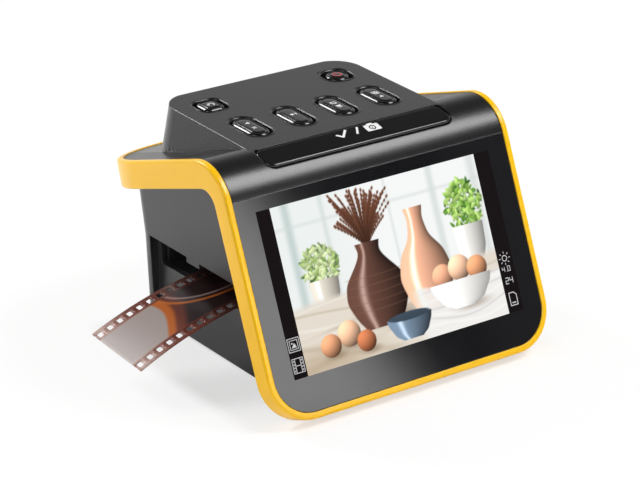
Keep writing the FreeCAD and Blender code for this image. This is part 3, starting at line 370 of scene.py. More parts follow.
def polar(radius, degrees, centre=(0.0, 0.0)):
    """The point at a radius and an angle from a centre."""
    turn = math.radians(degrees)
    return centre[0] + radius * math.cos(turn), centre[1] + radius * math.sin(turn)


def outline(width, length, radius, back_radius=None):
    """A rounded rectangle about zero, in mm, going round anticlockwise."""
    back = radius if back_radius is None else back_radius
    points = []
    for side, end, bend, start in ((1, -1, radius, -90), (1, 1, back, 0), (-1, 1, back, 90),
                                   (-1, -1, radius, 180)):
        centre = (side * (width / 2 - bend), end * (length / 2 - bend))
        points += [polar(bend, start + 90 * step / CORNER_STEPS, centre)
                   for step in range(CORNER_STEPS + 1)]
    return points


def skin(rings, close_ends=True, closed_loop=False):
    """Points and faces through rings of points."""
    count = len(rings[0])
    points = [p for ring in rings for p in ring]
    faces = []
    for level in range(len(rings) if closed_loop else len(rings) - 1):
        low, high = level * count, (level + 1) % len(rings) * count
        faces += [(low + k, low + (k + 1) % count, high + (k + 1) % count, high + k)
                  for k in range(count)]
    if close_ends:
        faces += [tuple(range(count)), tuple(range(len(points) - count, len(points)))]
    return points, faces


def join_meshes(parts):
    """Several lists of points and faces as one."""
    points, faces = [], []
    for part_points, part_faces in parts:
        start = len(points)
        points += part_points
        faces += [tuple(start + k for k in face) for face in part_faces]
    return points, faces


print("outline of a pill key has", len(outline(9.2, 18.6, 4.5)), "points")

# %% [markdown]
# ## Pieces
# A mesh becomes a piece of the scanner when it rides on one of the bodies, and so moves with it. On
# a moulding the flats have to stay flat and only the roundings blend. Weighing the normals by the size
# of the faces does that, and needs no marked edges.

# %% From mesh to piece
def piece_from(name, points, faces, material, body, slot, smooth=True):
    """Make a mesh piece that rides on a body."""
    mesh = bpy.data.meshes.new(name)
    mesh.from_pydata([tuple(p) for p in points], [], faces)
    mesh.validate()
    mesh.materials.append(material)
    for polygon in mesh.polygons:
        polygon.use_smooth = smooth
    piece = bpy.data.objects.new(name, mesh)
    bpy.context.scene.collection.objects.link(piece)
    work = bmesh.new()
    work.from_mesh(mesh)
    bmesh.ops.recalc_face_normals(work, faces=work.faces)
    work.to_mesh(mesh)
    work.free()
    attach(piece, body)
    return piece


def flat_faces_shade_flat(piece):
    """Weigh the normals by face size."""
    weigh = piece.modifiers.new("weigh", "WEIGHTED_NORMAL")
    weigh.mode = "FACE_AREA"
    weigh.weight = 50
    return piece


# %% [markdown]
# ## The yellow edge band
# On the real scanner this is one gloss moulding that runs round the panel, over the bend and round the
# shelf. A bevelled curve could follow that path, but its section would turn in the corners. Here the
# section is placed at stations along the path, each with its own outward and upward direction, so the
# flat front stays parallel to the glass and the wall stays square to it.

# %% The band's section
BAND = 2.7
PROUD = 0.4
BAND_ROUND = 1.15
LOWER_ROUND = 0.5


def band_section(depth):
    """The section's points: distance outwards and height over the face, in mm."""
    top_centre = (BAND - BAND_ROUND, PROUD - BAND_ROUND)
    low_centre = (BAND - LOWER_ROUND, LOWER_ROUND - depth)
    return [(0.0, 0.1), (0.07, PROUD - 0.1), (0.3, PROUD),
            *[polar(BAND_ROUND, 90 - 15 * step, top_centre) for step in range(7)],
            (BAND, -depth / 2),
            *[polar(LOWER_ROUND, -30 * step, low_centre) for step in range(4)],
            (0.3, -depth), (0.0, 0.3 - depth), (0.0, -depth / 2)]


print("points of the section:", len(band_section(8.0)))

# %% [markdown]
# Over the bend the band changes its depth: it is 8 mm at the panel and 10.6 mm at the shelf, and its
# lower edge makes a tighter bend of its own. The depth at each station could be read off a drawing.
# Here it is worked out where a ray from the bend's centre meets that lower edge, which is straight,
# then round, then straight again.

# %% How deep the band is over the bend
FRONT_DEPTH = 8.0
SHELF_DEPTH = 10.6
INNER_BEND = 8.0
TO_PANEL, TO_SHELF = side_view(LEAN), side_view(90 + SLOPE)
UP_PANEL, DOWN_SHELF = side_view(LEAN + 90), side_view(SLOPE + 180)


def inner_hub():
    """The centre of the lower edge's own bend, from the centre of the outer one."""
    spread = TO_PANEL.dot(TO_SHELF)
    front = BEND - FRONT_DEPTH - INNER_BEND
    rear = BEND - SHELF_DEPTH - INNER_BEND
    hub = TO_PANEL * (front - rear * spread) + TO_SHELF * (rear - front * spread)
    return hub / (1 - spread ** 2)


def bend_depth(degrees):
    """How deep the band's lower edge lies on a ray from the bend's centre."""
    hub, ray = inner_hub(), side_view(degrees)
    along = hub.dot(ray)
    reach = along + math.sqrt(max(0.0, INNER_BEND ** 2 - (hub - ray * along).length_squared))
    for normal, run, depth in ((TO_PANEL, -UP_PANEL, FRONT_DEPTH),
                               (TO_SHELF, DOWN_SHELF, SHELF_DEPTH)):
        straight = (BEND - depth) / max(1e-6, ray.dot(normal))
        touch = ray * straight - normal * (BEND - depth)
        if touch.dot(run) > hub.dot(run):
            return BEND - straight
    return BEND - reach


print("depth over the bend:", [round(bend_depth(LEAN + SWEEP * k / 4), 2) for k in range(5)])

# %% [markdown]
# The stations follow the right half of the path, from the middle of the lower edge to the middle of
# the rear edge. They are close together in corners and far apart on straight runs. The left half is
# the mirror image, as on the real moulding, and the skin joins both halves into one closed ring.

# %% Stations of the band
HALF = GLASS_WIDTH / 2


def station(face, place, outward, depth):
    """The section set up at a place on a face, looking outwards."""
    side = face.to_3x3() @ Vector((*outward, 0.0))
    upward = face.to_3x3() @ Vector((0.0, 0.0, 1.0))
    return [spot(face, *place) + (side * b + upward * h) * MM for b, h in band_section(depth)]


def bend_station(degrees):
    """The section set up on the bend, in the side view's direction."""
    upward = Vector((0.0, *side_view(degrees)))
    base = BEND_CENTRE + (Vector((HALF, 0.0, 0.0)) + upward * BEND) * MM
    return [base + (Vector((b, 0.0, 0.0)) + upward * h) * MM
            for b, h in band_section(bend_depth(degrees))]


def band_half():
    """Stations from the middle of the lower edge, up the right side, to the rear edge's middle."""
    panel_centre = (HALF - GLASS_CORNER, GLASS_CORNER)
    radius, rear = SHELF_CORNER - BAND, SHELF_LENGTH - BAND
    shelf_centre = (HALF - radius, rear - radius)
    start = BEND * math.tan(math.radians(SWEEP) / 2)
    rings = [station(PANEL, (panel_centre[0] * share, 0.0), (0.0, -1.0), FRONT_DEPTH)
             for share in (0.0, 0.34, 0.67)]
    rings += [station(PANEL, polar(GLASS_CORNER, turn, panel_centre), polar(1.0, turn), FRONT_DEPTH)
              for turn in [7.5 * step - 90 for step in range(13)]]
    rings += [station(PANEL, (HALF, GLASS_CORNER + (GLASS_HEIGHT - GLASS_CORNER) * share), (1.0, 0.0),
                      FRONT_DEPTH) for share in (0.25, 0.5, 0.75)]
    rings += [bend_station(LEAN + SWEEP * step / 20) for step in range(21)]
    rings += [station(SHELF, (HALF, start + (shelf_centre[1] - start) * share), (1.0, 0.0),
                      SHELF_DEPTH) for share in (0.33, 0.66)]
    rings += [station(SHELF, polar(radius, turn, shelf_centre), polar(1.0, turn), SHELF_DEPTH)
              for turn in [3.75 * step for step in range(25)]]
    return rings + [station(SHELF, (across, rear), (0.0, 1.0), SHELF_DEPTH)
                    for across in (shelf_centre[0] / 2, 0.0)]


right_half = band_half()
left_half = [[Vector((-p.x, p.y, p.z)) for p in ring] for ring in reversed(right_half[1:-1])]
band = piece_from("edge_band", *skin(right_half + left_half, close_ends=False, closed_loop=True),
                  yellow_abs, "scanner", "yellow_gloss")
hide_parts("trim_band")
flat_faces_shade_flat(band)
print("edge band stations:", len(right_half + left_half))

# %% [markdown]
# ## The keys
# Each key is a lacquered cap in a pocket of the cover. Round the pocket runs a low moulded bead, whose
# near side catches the light, and the pocket's far wall stays dark. The cap has a sloping shoulder, a
# fine groove and a slightly domed middle. All of it is one outline at different insets and levels, so
# rings do it: a bevel modifier would round the edges, but it can't make the bead and the groove.

# %% Sizes of the keys
PILL = {"cap": (9.2, 18.6, 4.5), "pocket": (11.0, 20.9, 5.45), "bead": (1.0, 1.25)}
SQUARE = {"cap": (9.2, 9.8, 2.6), "pocket": (12.2, 12.4, 3.9), "bead": (0.75, 0.75)}
DISC = {"cap": (9.6, 9.6, 4.75), "pocket": (12.5, 12.5, 5.6), "bead": (1.1, 1.1)}
KEYS = {
    "previous_key": (-30.0, 20.4, PILL),
    "next_key": (-10.0, 20.4, PILL),
    "mode_key": (10.0, 20.4, PILL),
    "gallery_key": (30.0, 20.4, PILL),
    "return_key": (-30.3, 47.9, SQUARE),
    "power_key": (30.0, 47.8, DISC),
}
# Insets and levels of the cap, from its foot to its middle
CAP_PROFILE = [(0.0, -2.4), (0.0, -0.75), (0.1, -0.45), (0.3, -0.2), (0.65, 0.08), (0.9, 0.2),
               (1.05, 0.2), (1.3, 0.0), (1.45, -0.05), (1.6, 0.0), (1.85, 0.24), (2.1, 0.34),
               (2.6, 0.39), (3.4, 0.4)]
# Shares of the bead's width, and levels, from its outer foot down the pocket's wall
BEAD_PROFILE = [(1.0, 0.01), (0.88, 0.1), (0.74, 0.19), (0.6, 0.22), (0.5, 0.18), (0.07, -0.25),
                (0.0, -0.42), (0.0, -2.3)]
# The flange that keeps the cap in its pocket reaches out under the cover
FLANGE = 1.3
FLANGE_LEVELS = (-3.45, -2.45)
print("keys:", list(KEYS))

# %% [markdown]
# An outline moved inwards keeps its corner centres, so its radius shrinks with it, down to a small
# rest. The bead is the other way round: the pocket's outline grows by a share of the bead's width.

# %% Key caps and the beads of their pockets
def rounded(width, length, radius, inset):
    """A rounded rectangle, moved inwards by an inset, in mm."""
    width, length = width - 2 * inset, length - 2 * inset
    return outline(width, length, min(max(0.25, radius - inset), width / 2 - 0.01, length / 2 - 0.01))


def beaded(pocket, bead, share):
    """A pocket's outline, moved outwards by a share of its bead."""
    (width, length, radius), (side, end) = pocket, bead
    return outline(width + 2 * side * share, length + 2 * end * share, radius + min(side, end) * share)


def on_island(across, along, shape, level):
    """A flat outline as points on the key island."""
    return [spot(ISLAND, across + x, along + y, level) for x, y in shape]


for name, (across, along, form) in KEYS.items():
    cap = [on_island(across, along, rounded(*form["cap"], inset), level)
           for inset, level in CAP_PROFILE]
    foot = [on_island(across, along, rounded(*form["cap"], -FLANGE), level)
            for level in FLANGE_LEVELS]
    key = piece_from(f"{name}_cap", *join_meshes([skin(cap), skin(foot)]), key_lacquer, name,
                     "key_gloss")
    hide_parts(name)
    bead = [on_island(across, along, beaded(form["pocket"], form["bead"], share), level)
            for share, level in BEAD_PROFILE]
    piece_from(f"{name}_pocket_bead", *skin(bead, close_ends=False), cover_abs, "scanner",
               "grey_matte")
print("rings of a cap:", len(CAP_PROFILE), "and of a bead:", len(BEAD_PROFILE))

# %% [markdown]
# ## The confirm bar
# A long lacquered bar lies across the bend. Its top is flat and its edge rolls over, which gives the
# bright line along the front in any light from above. A box with a bevel modifier would come near,
# but the front corners are rounder than the rear ones, so the bar is a stack of rings as well.

# %% The bar
BAR_WIDTH = 86.8
BAR_DEPTH = 11.3
BAR_SETBACK = 0.3
BAR_RADIUS, BAR_BACK_RADIUS = 4.0, 3.6
BAR_PROFILE = [(0.0, -3.2), (0.0, -0.95), (0.06, -0.6), (0.2, -0.32), (0.42, -0.13), (0.75, -0.02),
               (1.1, 0.0), (2.0, 0.0)]
bar_rings = []
for inset, level in BAR_PROFILE:
    shape = outline(BAR_WIDTH - 2 * inset, BAR_DEPTH - 2 * inset, BAR_RADIUS - inset,
                    back_radius=BAR_BACK_RADIUS - inset)
    bar_rings.append([spot(BAR, x, y - BAR_SETBACK - BAR_DEPTH / 2, level) for x, y in shape])
bar = piece_from("confirm_bar", *skin(bar_rings), key_lacquer, "ok_bar", "key_gloss")
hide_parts("ok_bar")
flat_faces_shade_flat(bar)
print("bar is", BAR_WIDTH, "by", BAR_DEPTH, "mm")

# %% [markdown]
# ## Printed marks
# The marks on the keys are pad printed in white ink, a few hundredths of a millimetre thick. A texture
# could carry them, but thin flat meshes stay sharp at any distance. Three small shape makers are
# enough: a ribbon that follows a line, a filled patch, and an arc for both to follow.

# %% Flat shapes
MARK_LIFT = 0.03


def ribbon(line, width, closed=False):
    """A line of even width, with mitred corners, as flat points and faces."""
    count = len(line)
    sides = []
    for k, here in enumerate(line):
        before = line[k - 1] if closed or k > 0 else here
        after = line[(k + 1) % count] if closed or k < count - 1 else here
        runs = [Vector(end) - Vector(start)
                for start, end in ((before, here), (here, after)) if start != end]
        normals = [Vector((-run.y, run.x)).normalized() for run in runs]
        middle = sum(normals, Vector((0.0, 0.0))) / len(normals)
        sides.append(middle * (width / 2 / max(0.25, middle.length_squared)))
    points = [Vector(p) + sign * s for sign in (1, -1) for p, s in zip(line, sides)]
    faces = [(k, (k + 1) % count, count + (k + 1) % count, count + k)
             for k in range(count if closed else count - 1)]
    return points, faces


def patch(line):
    """A filled outline."""
    return [Vector(p) for p in line], [tuple(range(len(line)))]


def arc(centre, radius, start=0.0, end=360.0, steps=20):
    """Points along an arc; a full circle leaves out its last point."""
    full = end - start == 360
    return [polar(radius, start + (end - start) * k / steps, centre)
            for k in range(steps if full else steps + 1)]


def box(centre, width, height):
    """The corners of a rectangle."""
    return [(centre[0] + side * width / 2, centre[1] + end * height / 2)
            for side, end in ((-1, -1), (1, -1), (1, 1), (-1, 1))]


def mark(name, face, centre, level, shapes, material, body, slot):
    """Lay flat shapes on a face just over its surface."""
    points, faces = join_meshes(shapes)
    placed = [spot(face, centre[0] + p[0], centre[1] + p[1], level + MARK_LIFT) for p in points]
    return piece_from(name, placed, faces, material, body, slot, smooth=False)


print("a square ribbon has", len(ribbon(box((0.0, 0.0), 2.0, 2.0), 0.4, closed=True)[1]), "faces")

# %% [markdown]
# Pad printing ink is flat and matt, and a little uneven where the soft pad pressed it on. The marks
# are plain signs of use: triangles for back and forward, frames for the picture, an arrow that turns
# back, and the usual ring with a line for the power. Each is drawn in mm about its key's centre.

# %% The marks on the keys
def ink(name, colour):
    """Pad printing ink: it looks dry against the lacquer, with soft darker clouds."""
    material, tree, place = new_material(name)
    tint = mottled(tree, place, 0.8, linear(colour), linear(colour, 0.85))
    return finish_material(material, add(tree, "ShaderNodeBsdfPrincipled", {
        "Base Color": tint, "Roughness": 0.6, "IOR": 1.5}))


white_ink = ink("white_pad_printing_ink", "#E4E4E2")
red_ink = ink("red_pad_printing_ink", "#C0444A")
CAP_TOP = CAP_PROFILE[-1][1]
KEY_MARKS = {
    "previous_key": [patch([(-0.9, 2.9), (0.9, 2.0), (0.9, 3.8)]),
                     *[ribbon([(-0.8, level), (0.8, level)], 0.55) for level in (-2.9, -1.9)]],
    "next_key": [patch([(0.9, 0.9), (-0.9, 0.0), (-0.9, 1.8)]), ribbon([(1.3, 0.0), (1.3, 1.8)], 0.4)],
    "mode_key": [ribbon(box((0.0, 2.2), 2.0, 1.7), 0.4, closed=True),
                 patch(box((0.0, -1.4), 2.0, 1.4)), ribbon([(-1.0, -2.8), (1.0, -2.8)], 0.4)],
    "gallery_key": [ribbon(box((-0.2, 2.4), 1.7, 1.7), 0.38, closed=True),
                    ribbon(box((0.4, 1.7), 1.7, 1.7), 0.38, closed=True),
                    patch([(-1.0, -2.8), (1.0, -2.8), (0.1, -1.2)])],
    "return_key": [ribbon(arc((0.1, -0.1), 1.25, -60, 150, 12), 0.45),
                   patch([(-2.0, 0.3), (-0.1, 0.3), (-1.0, -0.8)])],
    "power_key": [ribbon(arc((0.0, 0.0), 1.75, 125, 415, 22), 0.5),
                  ribbon([(0.0, 0.5), (0.0, 2.3)], 0.5)],
}
for name, shapes in KEY_MARKS.items():
    across, along, _ = KEYS[name]
    mark(f"{name}_mark", ISLAND, (across, along), CAP_TOP, shapes,
         red_ink if name == "power_key" else white_ink, name, "key_gloss")
print("inks:", white_ink.name, red_ink.name, "on", len(KEY_MARKS), "keys")

# %% [markdown]
# The bar has a tick, a stroke and a small camera. The camera's body and lens could be filled shapes in
# two colours, but one ink prints both: the lens stays open, because each is a flat ring, which is a
# skin between two outlines in one plane.

# %% The mark on the bar
CAMERA_SIGN = (9.3, -0.3)


def flat_ring(outer, inner):
    """The surface between two rounded rectangles about the camera sign's centre."""
    return skin([[(CAMERA_SIGN[0] + x, CAMERA_SIGN[1] + y) for x, y in outline(*size)]
                 for size in (outer, inner)], close_ends=False)


bar_signs = [ribbon([(-7.4, 0.3), (-5.3, -1.7), (-1.9, 2.1)], 0.95),
             ribbon([(1.1, -2.0), (3.5, 2.0)], 0.85),
             flat_ring((6.6, 4.2, 0.5), (2.9, 2.9, 1.44)),
             flat_ring((1.9, 1.9, 0.94), (0.8, 0.8, 0.39)),
             patch(box((9.3, 2.15), 2.6, 0.8))]
mark("confirm_bar_mark", BAR, (0.0, -3.8), 0.0, bar_signs, white_ink, "ok_bar", "key_gloss")
print("signs on the bar:", len(bar_signs))

# %% [markdown]
# ## Screws
# Four screws hold the base plate and four more the main board. A pan head is a stack of rings, and its
# cross recess is one of them as well: the ring's radius changes with the angle, so that the circle
# turns into a cross. That keeps the recess part of the same closed mesh, with no boolean.

# %% Pan head screws with a cross recess
HEAD_RADIUS = 2.2
CROSS_ARM = 1.35
CROSS_HALF_WIDTH = 0.32
# Shares of the radius and of the height, from the seat up; then those of the cross and its floor
HEAD_PROFILE = [(1.0, 0.0), (1.0, 0.45), (0.95, 0.72), (0.82, 0.9), (0.68, 0.97)]
CROSS_PROFILE = [(1.0, 1.0), (0.8, 0.3)]
# Zinc plating looks bluer and duller than nickel
screw_steel = metal_material("zinc_plated_steel", "#9A9B9D", 0.35)
SCREWS = {
    "base_screw": (36.0, (-42.0, 45.5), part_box("base_plate")[0][2] / MM, -0.85),
    "board_screw": (34.0, (31.0, 49.5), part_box("main_board")[1][2] / MM, 1.3),
}


def cross_radius(angle):
    """How far the cross reaches at an angle."""
    c, s = abs(math.cos(angle)) + 1e-6, abs(math.sin(angle)) + 1e-6
    return max(min(CROSS_ARM / c, CROSS_HALF_WIDTH / s), min(CROSS_HALF_WIDTH / c, CROSS_ARM / s))


def screw_head(name, across, along, seat, height):
    """A pan head on a seat; a height below zero hangs down."""
    angles = [math.radians(5 * k) for k in range(72)]
    rings = [[(HEAD_RADIUS * share, rise) for _ in angles] for share, rise in HEAD_PROFILE]
    rings += [[(cross_radius(a) * share, rise) for a in angles] for share, rise in CROSS_PROFILE]
    placed = [[Vector((across + r * math.cos(a), along + r * math.sin(a), seat + height * rise)) * MM
               for (r, rise), a in zip(ring, angles)] for ring in rings]
    screw = piece_from(name, *skin(placed), screw_steel, "scanner", "socket_metal")
    return flat_faces_shade_flat(screw)


for number, (side, row) in enumerate([(-1, 0), (1, 0), (-1, 1), (1, 1)], 1):
    for kind, (across, alongs, seat, height) in SCREWS.items():
        screw_head(f"{kind}_{number}", side * across, alongs[row], seat, height)
print("screws:", 4 * len(SCREWS))

# %% [markdown]
# ## The lit display
# Behind the clear window of the panel lies a colour display. Seen from outside, the glass shine is
# gone where it glows, so its face is a thin sheet over the window, black at both sides and lit
# between them. An image file could fill it, but this scene paints its own picture: one colour for
# each point of a fine mesh. It needs few tools: a mask that says where, a colour that says what, and
# for round things a light that falls off as on a ball or on a turned pot.

# %% Painting tools
SHEET_LEFT, SHEET_RIGHT = -54.4, 54.4
SHEET_LOW, SHEET_HIGH = 13.4, 76.9
PICTURE_LEFT, PICTURE_RIGHT = -48.3, 47.1
DOT = 0.3
LIGHT_ACROSS, LIGHT_UP = -0.55, 0.6
PROFILE_POINTS, SMOOTH_SPAN, SMOOTH_PASSES = 200, 19, 3
LEAF = 0.035
columns = int((PICTURE_RIGHT - PICTURE_LEFT) / DOT) + 1
rows = int((SHEET_HIGH - SHEET_LOW) / DOT) + 1
ys, xs = np.mgrid[0:1:rows * 1j, 0:1.5:columns * 1j]
canvas = np.zeros((rows, columns, 3))
chance = np.random.default_rng(7)


def soften(level):
    """Levels from 0 to 1 with a soft start and end."""
    level = np.clip(level, 0, 1)
    return level * level * (3 - 2 * level)


def cover_with(mask, colour):
    """Lay a colour over the canvas where the mask is high."""
    canvas[:] += mask[..., None] * (colour - canvas)


def ball(x, y, wide, high, colour, turn=0.0, edge=0.08, shade=0.35):
    """An oval dab, lit from the upper left."""
    dx, dy = xs - x, ys - y
    c, s = math.cos(turn), math.sin(turn)
    u, v = (dx * c + dy * s) / wide, (dy * c - dx * s) / high
    reach = np.sqrt(u * u + v * v)
    bulge = np.sqrt(np.clip(1 - reach * reach, 0, 1))
    light = 1 + shade * ((LIGHT_ACROSS * dx / wide + LIGHT_UP * dy / high) + 0.6 * bulge - 0.45)
    cover_with(soften((1 - reach) / edge), np.clip(colour * light[..., None], 0, 1))


def turned(x, profile, colour, shade=0.5):
    """A turned pot: half widths at heights, shaded round its axis."""
    heights, halves = zip(*profile)
    fine = np.linspace(heights[0], heights[-1], PROFILE_POINTS)
    soft_half = np.interp(fine, heights, halves)
    for _ in range(SMOOTH_PASSES):
        soft_half = np.convolve(np.pad(soft_half, SMOOTH_SPAN // 2, mode="edge"),
                                np.ones(SMOOTH_SPAN) / SMOOTH_SPAN, mode="valid")
    half = np.interp(ys, fine, soft_half, left=0, right=0)
    across = (xs - x) / np.maximum(half, 1e-6)
    light = 1 + shade * (-0.6 * across + 0.5 * np.sqrt(np.clip(1 - across ** 2, 0, 1)) - 0.35)
    glint = 0.35 * np.exp(-((across + 0.45) / 0.12) ** 2)
    inside = soften((half - np.abs(xs - x)) / 0.008) * (half > 0)
    cover_with(inside, np.clip(tone(colour) * light[..., None] + glint[..., None], 0, 1))


def leaves(x, y, spread_x, spread_y, count, colours):
    """A bush of small leaves, darker first and lighter on top."""
    for k in range(count):
        angle, far = chance.uniform(0, 2 * math.pi), chance.uniform(0, 1) ** 0.6
        shade = tone(colours[int(len(colours) * k / count)])
        ball(x + spread_x * far * math.cos(angle), y + spread_y * far * math.sin(angle),
             LEAF * chance.uniform(0.6, 1.1), LEAF * 0.36, shade * chance.uniform(0.85, 1.12),
             chance.uniform(0, math.pi), edge=0.5, shade=0.2)


def resting(x, y, wide, high, strength=0.5):
    """The soft shadow that a thing throws on the cloth to its right."""
    reach = np.hypot((xs - x - wide * 0.35) / (wide * 1.5), (ys - y) / high)
    cover_with(soften(1 - reach) * strength, tone("#7A6654"))


print("picture of", columns, "by", rows, "points")

# %% [markdown]
# The picture is a bright still life by a window. It is built from back to front, as a painter would:
# the pale window with its bars and two pots of leaves, the cloth with its folds, then the vases.
# Distances run from 0 to 1.5 across and from 0 to 1 up the picture.

# %% Window and pots
WINDOW_BARS = ((0.07, 0.05, "#C3D2CF", 0.9), (0.33, 0.03, "#D9E2E0", 0.9),
               (0.80, 0.02, "#E3E8E7", 0.9), (1.12, 0.045, "#D6DEDC", 0.8),
               (1.43, 0.06, "#D9DEDB", 0.8))
cover_with(np.ones_like(xs), tone("#EEF2F1"))
cover_with(soften((xs - 0.3) / 0.5) * 0.5, tone("#FFFFFF"))
for left, width, colour, strength in WINDOW_BARS:
    bar_mask = soften(1 - np.abs(xs - left - width / 2) / width) * strength
    cover_with(bar_mask * (ys > 0.36), tone(colour))
cover_with(soften(1 - np.abs(ys - 0.86) / 0.02) * 0.5, tone("#D5DDDB"))
leaves(0.25, 0.6, 0.13, 0.12, 170, ["#5F7A45", "#86A35E", "#A9C27C", "#CFDFA8"])
turned(0.25, [(0.36, 0.07), (0.42, 0.1), (0.52, 0.11)], "#CFC8BC")
leaves(1.34, 0.72, 0.14, 0.16, 230, ["#3F6B2A", "#5E8F38", "#83B24C", "#B2D477"])
turned(1.34, [(0.38, 0.08), (0.46, 0.11), (0.6, 0.12)], "#DAD8D3")
print("bars of the window:", len(WINDOW_BARS))

# %% [markdown]
# Folds are lines of light and shade in turn, each a little broader and wavier than the last. The tall
# vase holds dry stems, which are rows of thin dabs that lean further out the higher they go. Drawn
# lines would do for them too, but dabs give each stem a soft and uneven edge.

# %% Cloth, stems and vases
FOLDS, STEMS, STEM_DABS = 9, 90, 14
cover_with(soften((0.41 - ys + 0.02 * np.sin(xs * 5)) / 0.05), tone("#E6DDD0"))
for k in range(FOLDS):
    fold = np.abs(ys - (0.36 - 0.047 * k + 0.03 * np.sin(xs * (3 + 0.6 * k) + 1.7 * k)))
    cover_with(soften(1 - fold / (0.010 + 0.004 * k)) * 0.4, tone("#B7A68E" if k % 2 else "#FAF6F0"))
cover_with(soften((0.2 - ys) / 0.16) * soften((0.75 - xs) / 0.6) * 0.5, tone("#A98F6C"))
resting(0.6, 0.19, 0.2, 0.07, 0.7)
resting(0.96, 0.2, 0.17, 0.06, 0.6)
for _ in range(STEMS):
    lean = chance.uniform(-0.55, 0.6)
    tall = chance.uniform(0.16, 0.36)
    for t in [step / (STEM_DABS - 1) for step in range(STEM_DABS)]:
        ball(0.6 + lean * 0.36 * t ** 1.4, 0.62 + tall * t, 0.004 + 0.007 * t, 0.018,
             tone("#4A2E22") * (0.75 + 0.75 * t), -lean * t * 1.2, edge=0.7, shade=0.1)
turned(0.6, [(0.15, 0.12), (0.2, 0.17), (0.33, 0.23), (0.44, 0.21), (0.55, 0.11), (0.61, 0.07),
             (0.66, 0.1)], "#553A31", 0.8)
for k in range(5):
    groove = np.abs(ys - 0.27 - 0.05 * k + 0.012 * np.cos((xs - 0.6) * 7))
    on_vase = soften((0.22 - np.abs(xs - 0.6)) / 0.03)
    cover_with(soften(1 - groove / 0.006) * on_vase * 0.35, tone("#8A6650"))
turned(0.97, [(0.16, 0.1), (0.22, 0.15), (0.38, 0.2), (0.52, 0.16), (0.6, 0.08), (0.74, 0.055),
              (0.79, 0.085)], "#D8A285", 0.7)
print("folds:", FOLDS, "stems:", STEMS)

# %% [markdown]
# In front come a white cloth, two bowls and six round fruits, three of them in the white bowl. Masks
# could cut the fruits off at its rim, but it is simpler to paint the bowl last, over their feet.

# %% White cloth, bowls and fruit
FRUITS = ((1.08, 0.335, 0.08, "#DDA383"), (1.21, 0.36, 0.085, "#EFC0A0"),
          (1.34, 0.335, 0.078, "#D6976F"), (0.34, 0.17, 0.085, "#E6B795"),
          (0.2, 0.13, 0.075, "#D39670"), (0.45, 0.1, 0.07, "#B9704B"))
cover_with(soften((0.27 + 0.05 * np.sin(xs * 9) - ys) / 0.03) * soften((xs - 0.8) / 0.12) * 0.9,
           tone("#F4F3F1"))
for k in range(6):
    fold = np.abs(ys - 0.04 - 0.045 * k - 0.25 * (xs - 1.1) ** 2 - 0.02 * np.sin(xs * 8 + k))
    cover_with(soften(1 - fold / 0.012) * soften((xs - 0.85) / 0.15) * 0.5,
               tone("#C9C9CC" if k % 2 else "#FFFFFF"))
resting(1.2, 0.13, 0.14, 0.05, 0.5)
turned(0.78, [(0.03, 0.07), (0.06, 0.12), (0.13, 0.16), (0.17, 0.17)], "#66788A", 0.7)
ball(0.78, 0.17, 0.168, 0.028, tone("#3E4C5A"), edge=0.2, shade=0.1)
for x, y, size, colour in FRUITS:
    if y < 0.3:
        resting(x, y - size * 0.8, size, 0.04, 0.5)
    ball(x, y, size, size * 0.95, tone(colour), edge=0.06, shade=0.6)
turned(1.2, [(0.12, 0.07), (0.15, 0.15), (0.24, 0.22), (0.29, 0.235)], "#F1EFEC", 0.4)
canvas = np.clip(canvas, 0, 1)
print("mean of the picture:", [round(float(c), 2) for c in canvas.mean(axis=(0, 1))])

# %% [markdown]
# The picture now moves onto the mesh: each point of the sheet gets the canvas colour at its place, as
# a colour attribute, and the material lets it glow. A display gives its own light and hardly mirrors
# any, so its face has no shine.

# %% The sheet and its picture
BORDER_LEVEL, PICTURE_LEVEL = 0.02, 0.04


def paint_points(piece, layer, levels):
    """Give each point of a piece its own colour, from sRGB levels."""
    light = np.column_stack([to_light(levels), np.ones(len(levels))])
    piece.data.attributes.new(layer, "FLOAT_COLOR", "POINT").data.foreach_set("color", light.ravel())


def lit_display():
    """The lit picture: every point of the mesh glows in its own colour."""
    material, tree, _ = new_material("lit_colour_display")
    paint = add(tree, "ShaderNodeVertexColor", layer_name="picture")
    return finish_material(material, add(tree, "ShaderNodeBsdfPrincipled", {
        "Base Color": linear("#060606"), "Roughness": 0.6, "Specular IOR Level": 0.0,
        "Emission Color": paint, "Emission Strength": 1.0}))


def dark_display():
    """The unlit sides: a deep, even black behind clear glass, with no shine of their own."""
    material, tree, place = new_material("unlit_display_border")
    tint = mottled(tree, place, 20, linear("#151112"), linear("#1A1617"))
    return finish_material(material, add(tree, "ShaderNodeBsdfPrincipled", {
        "Base Color": tint, "Roughness": 0.6, "Specular IOR Level": 0.0}))


corners = [(SHEET_LEFT, SHEET_LOW), (SHEET_RIGHT, SHEET_LOW),
           (SHEET_RIGHT, SHEET_HIGH), (SHEET_LEFT, SHEET_HIGH)]
piece_from("display_border", [spot(PANEL, x, y, BORDER_LEVEL) for x, y in corners], [(0, 1, 2, 3)],
           dark_display(), "scanner", "panel_glass", smooth=False)
acrosses = PICTURE_LEFT + (PICTURE_RIGHT - PICTURE_LEFT) * np.linspace(0, 1, columns)
alongs = SHEET_LOW + (SHEET_HIGH - SHEET_LOW) * np.linspace(0, 1, rows)
points = [spot(PANEL, x, y, PICTURE_LEVEL) for y in alongs for x in acrosses]
faces = [(r * columns + c, r * columns + c + 1, (r + 1) * columns + c + 1, (r + 1) * columns + c)
         for r in range(rows - 1) for c in range(columns - 1)]
picture = piece_from("display_picture", points, faces, lit_display(), "scanner", "panel_glass",
                     smooth=False)
paint_points(picture, "picture", canvas.reshape(-1, 3))
print("picture faces:", len(faces))

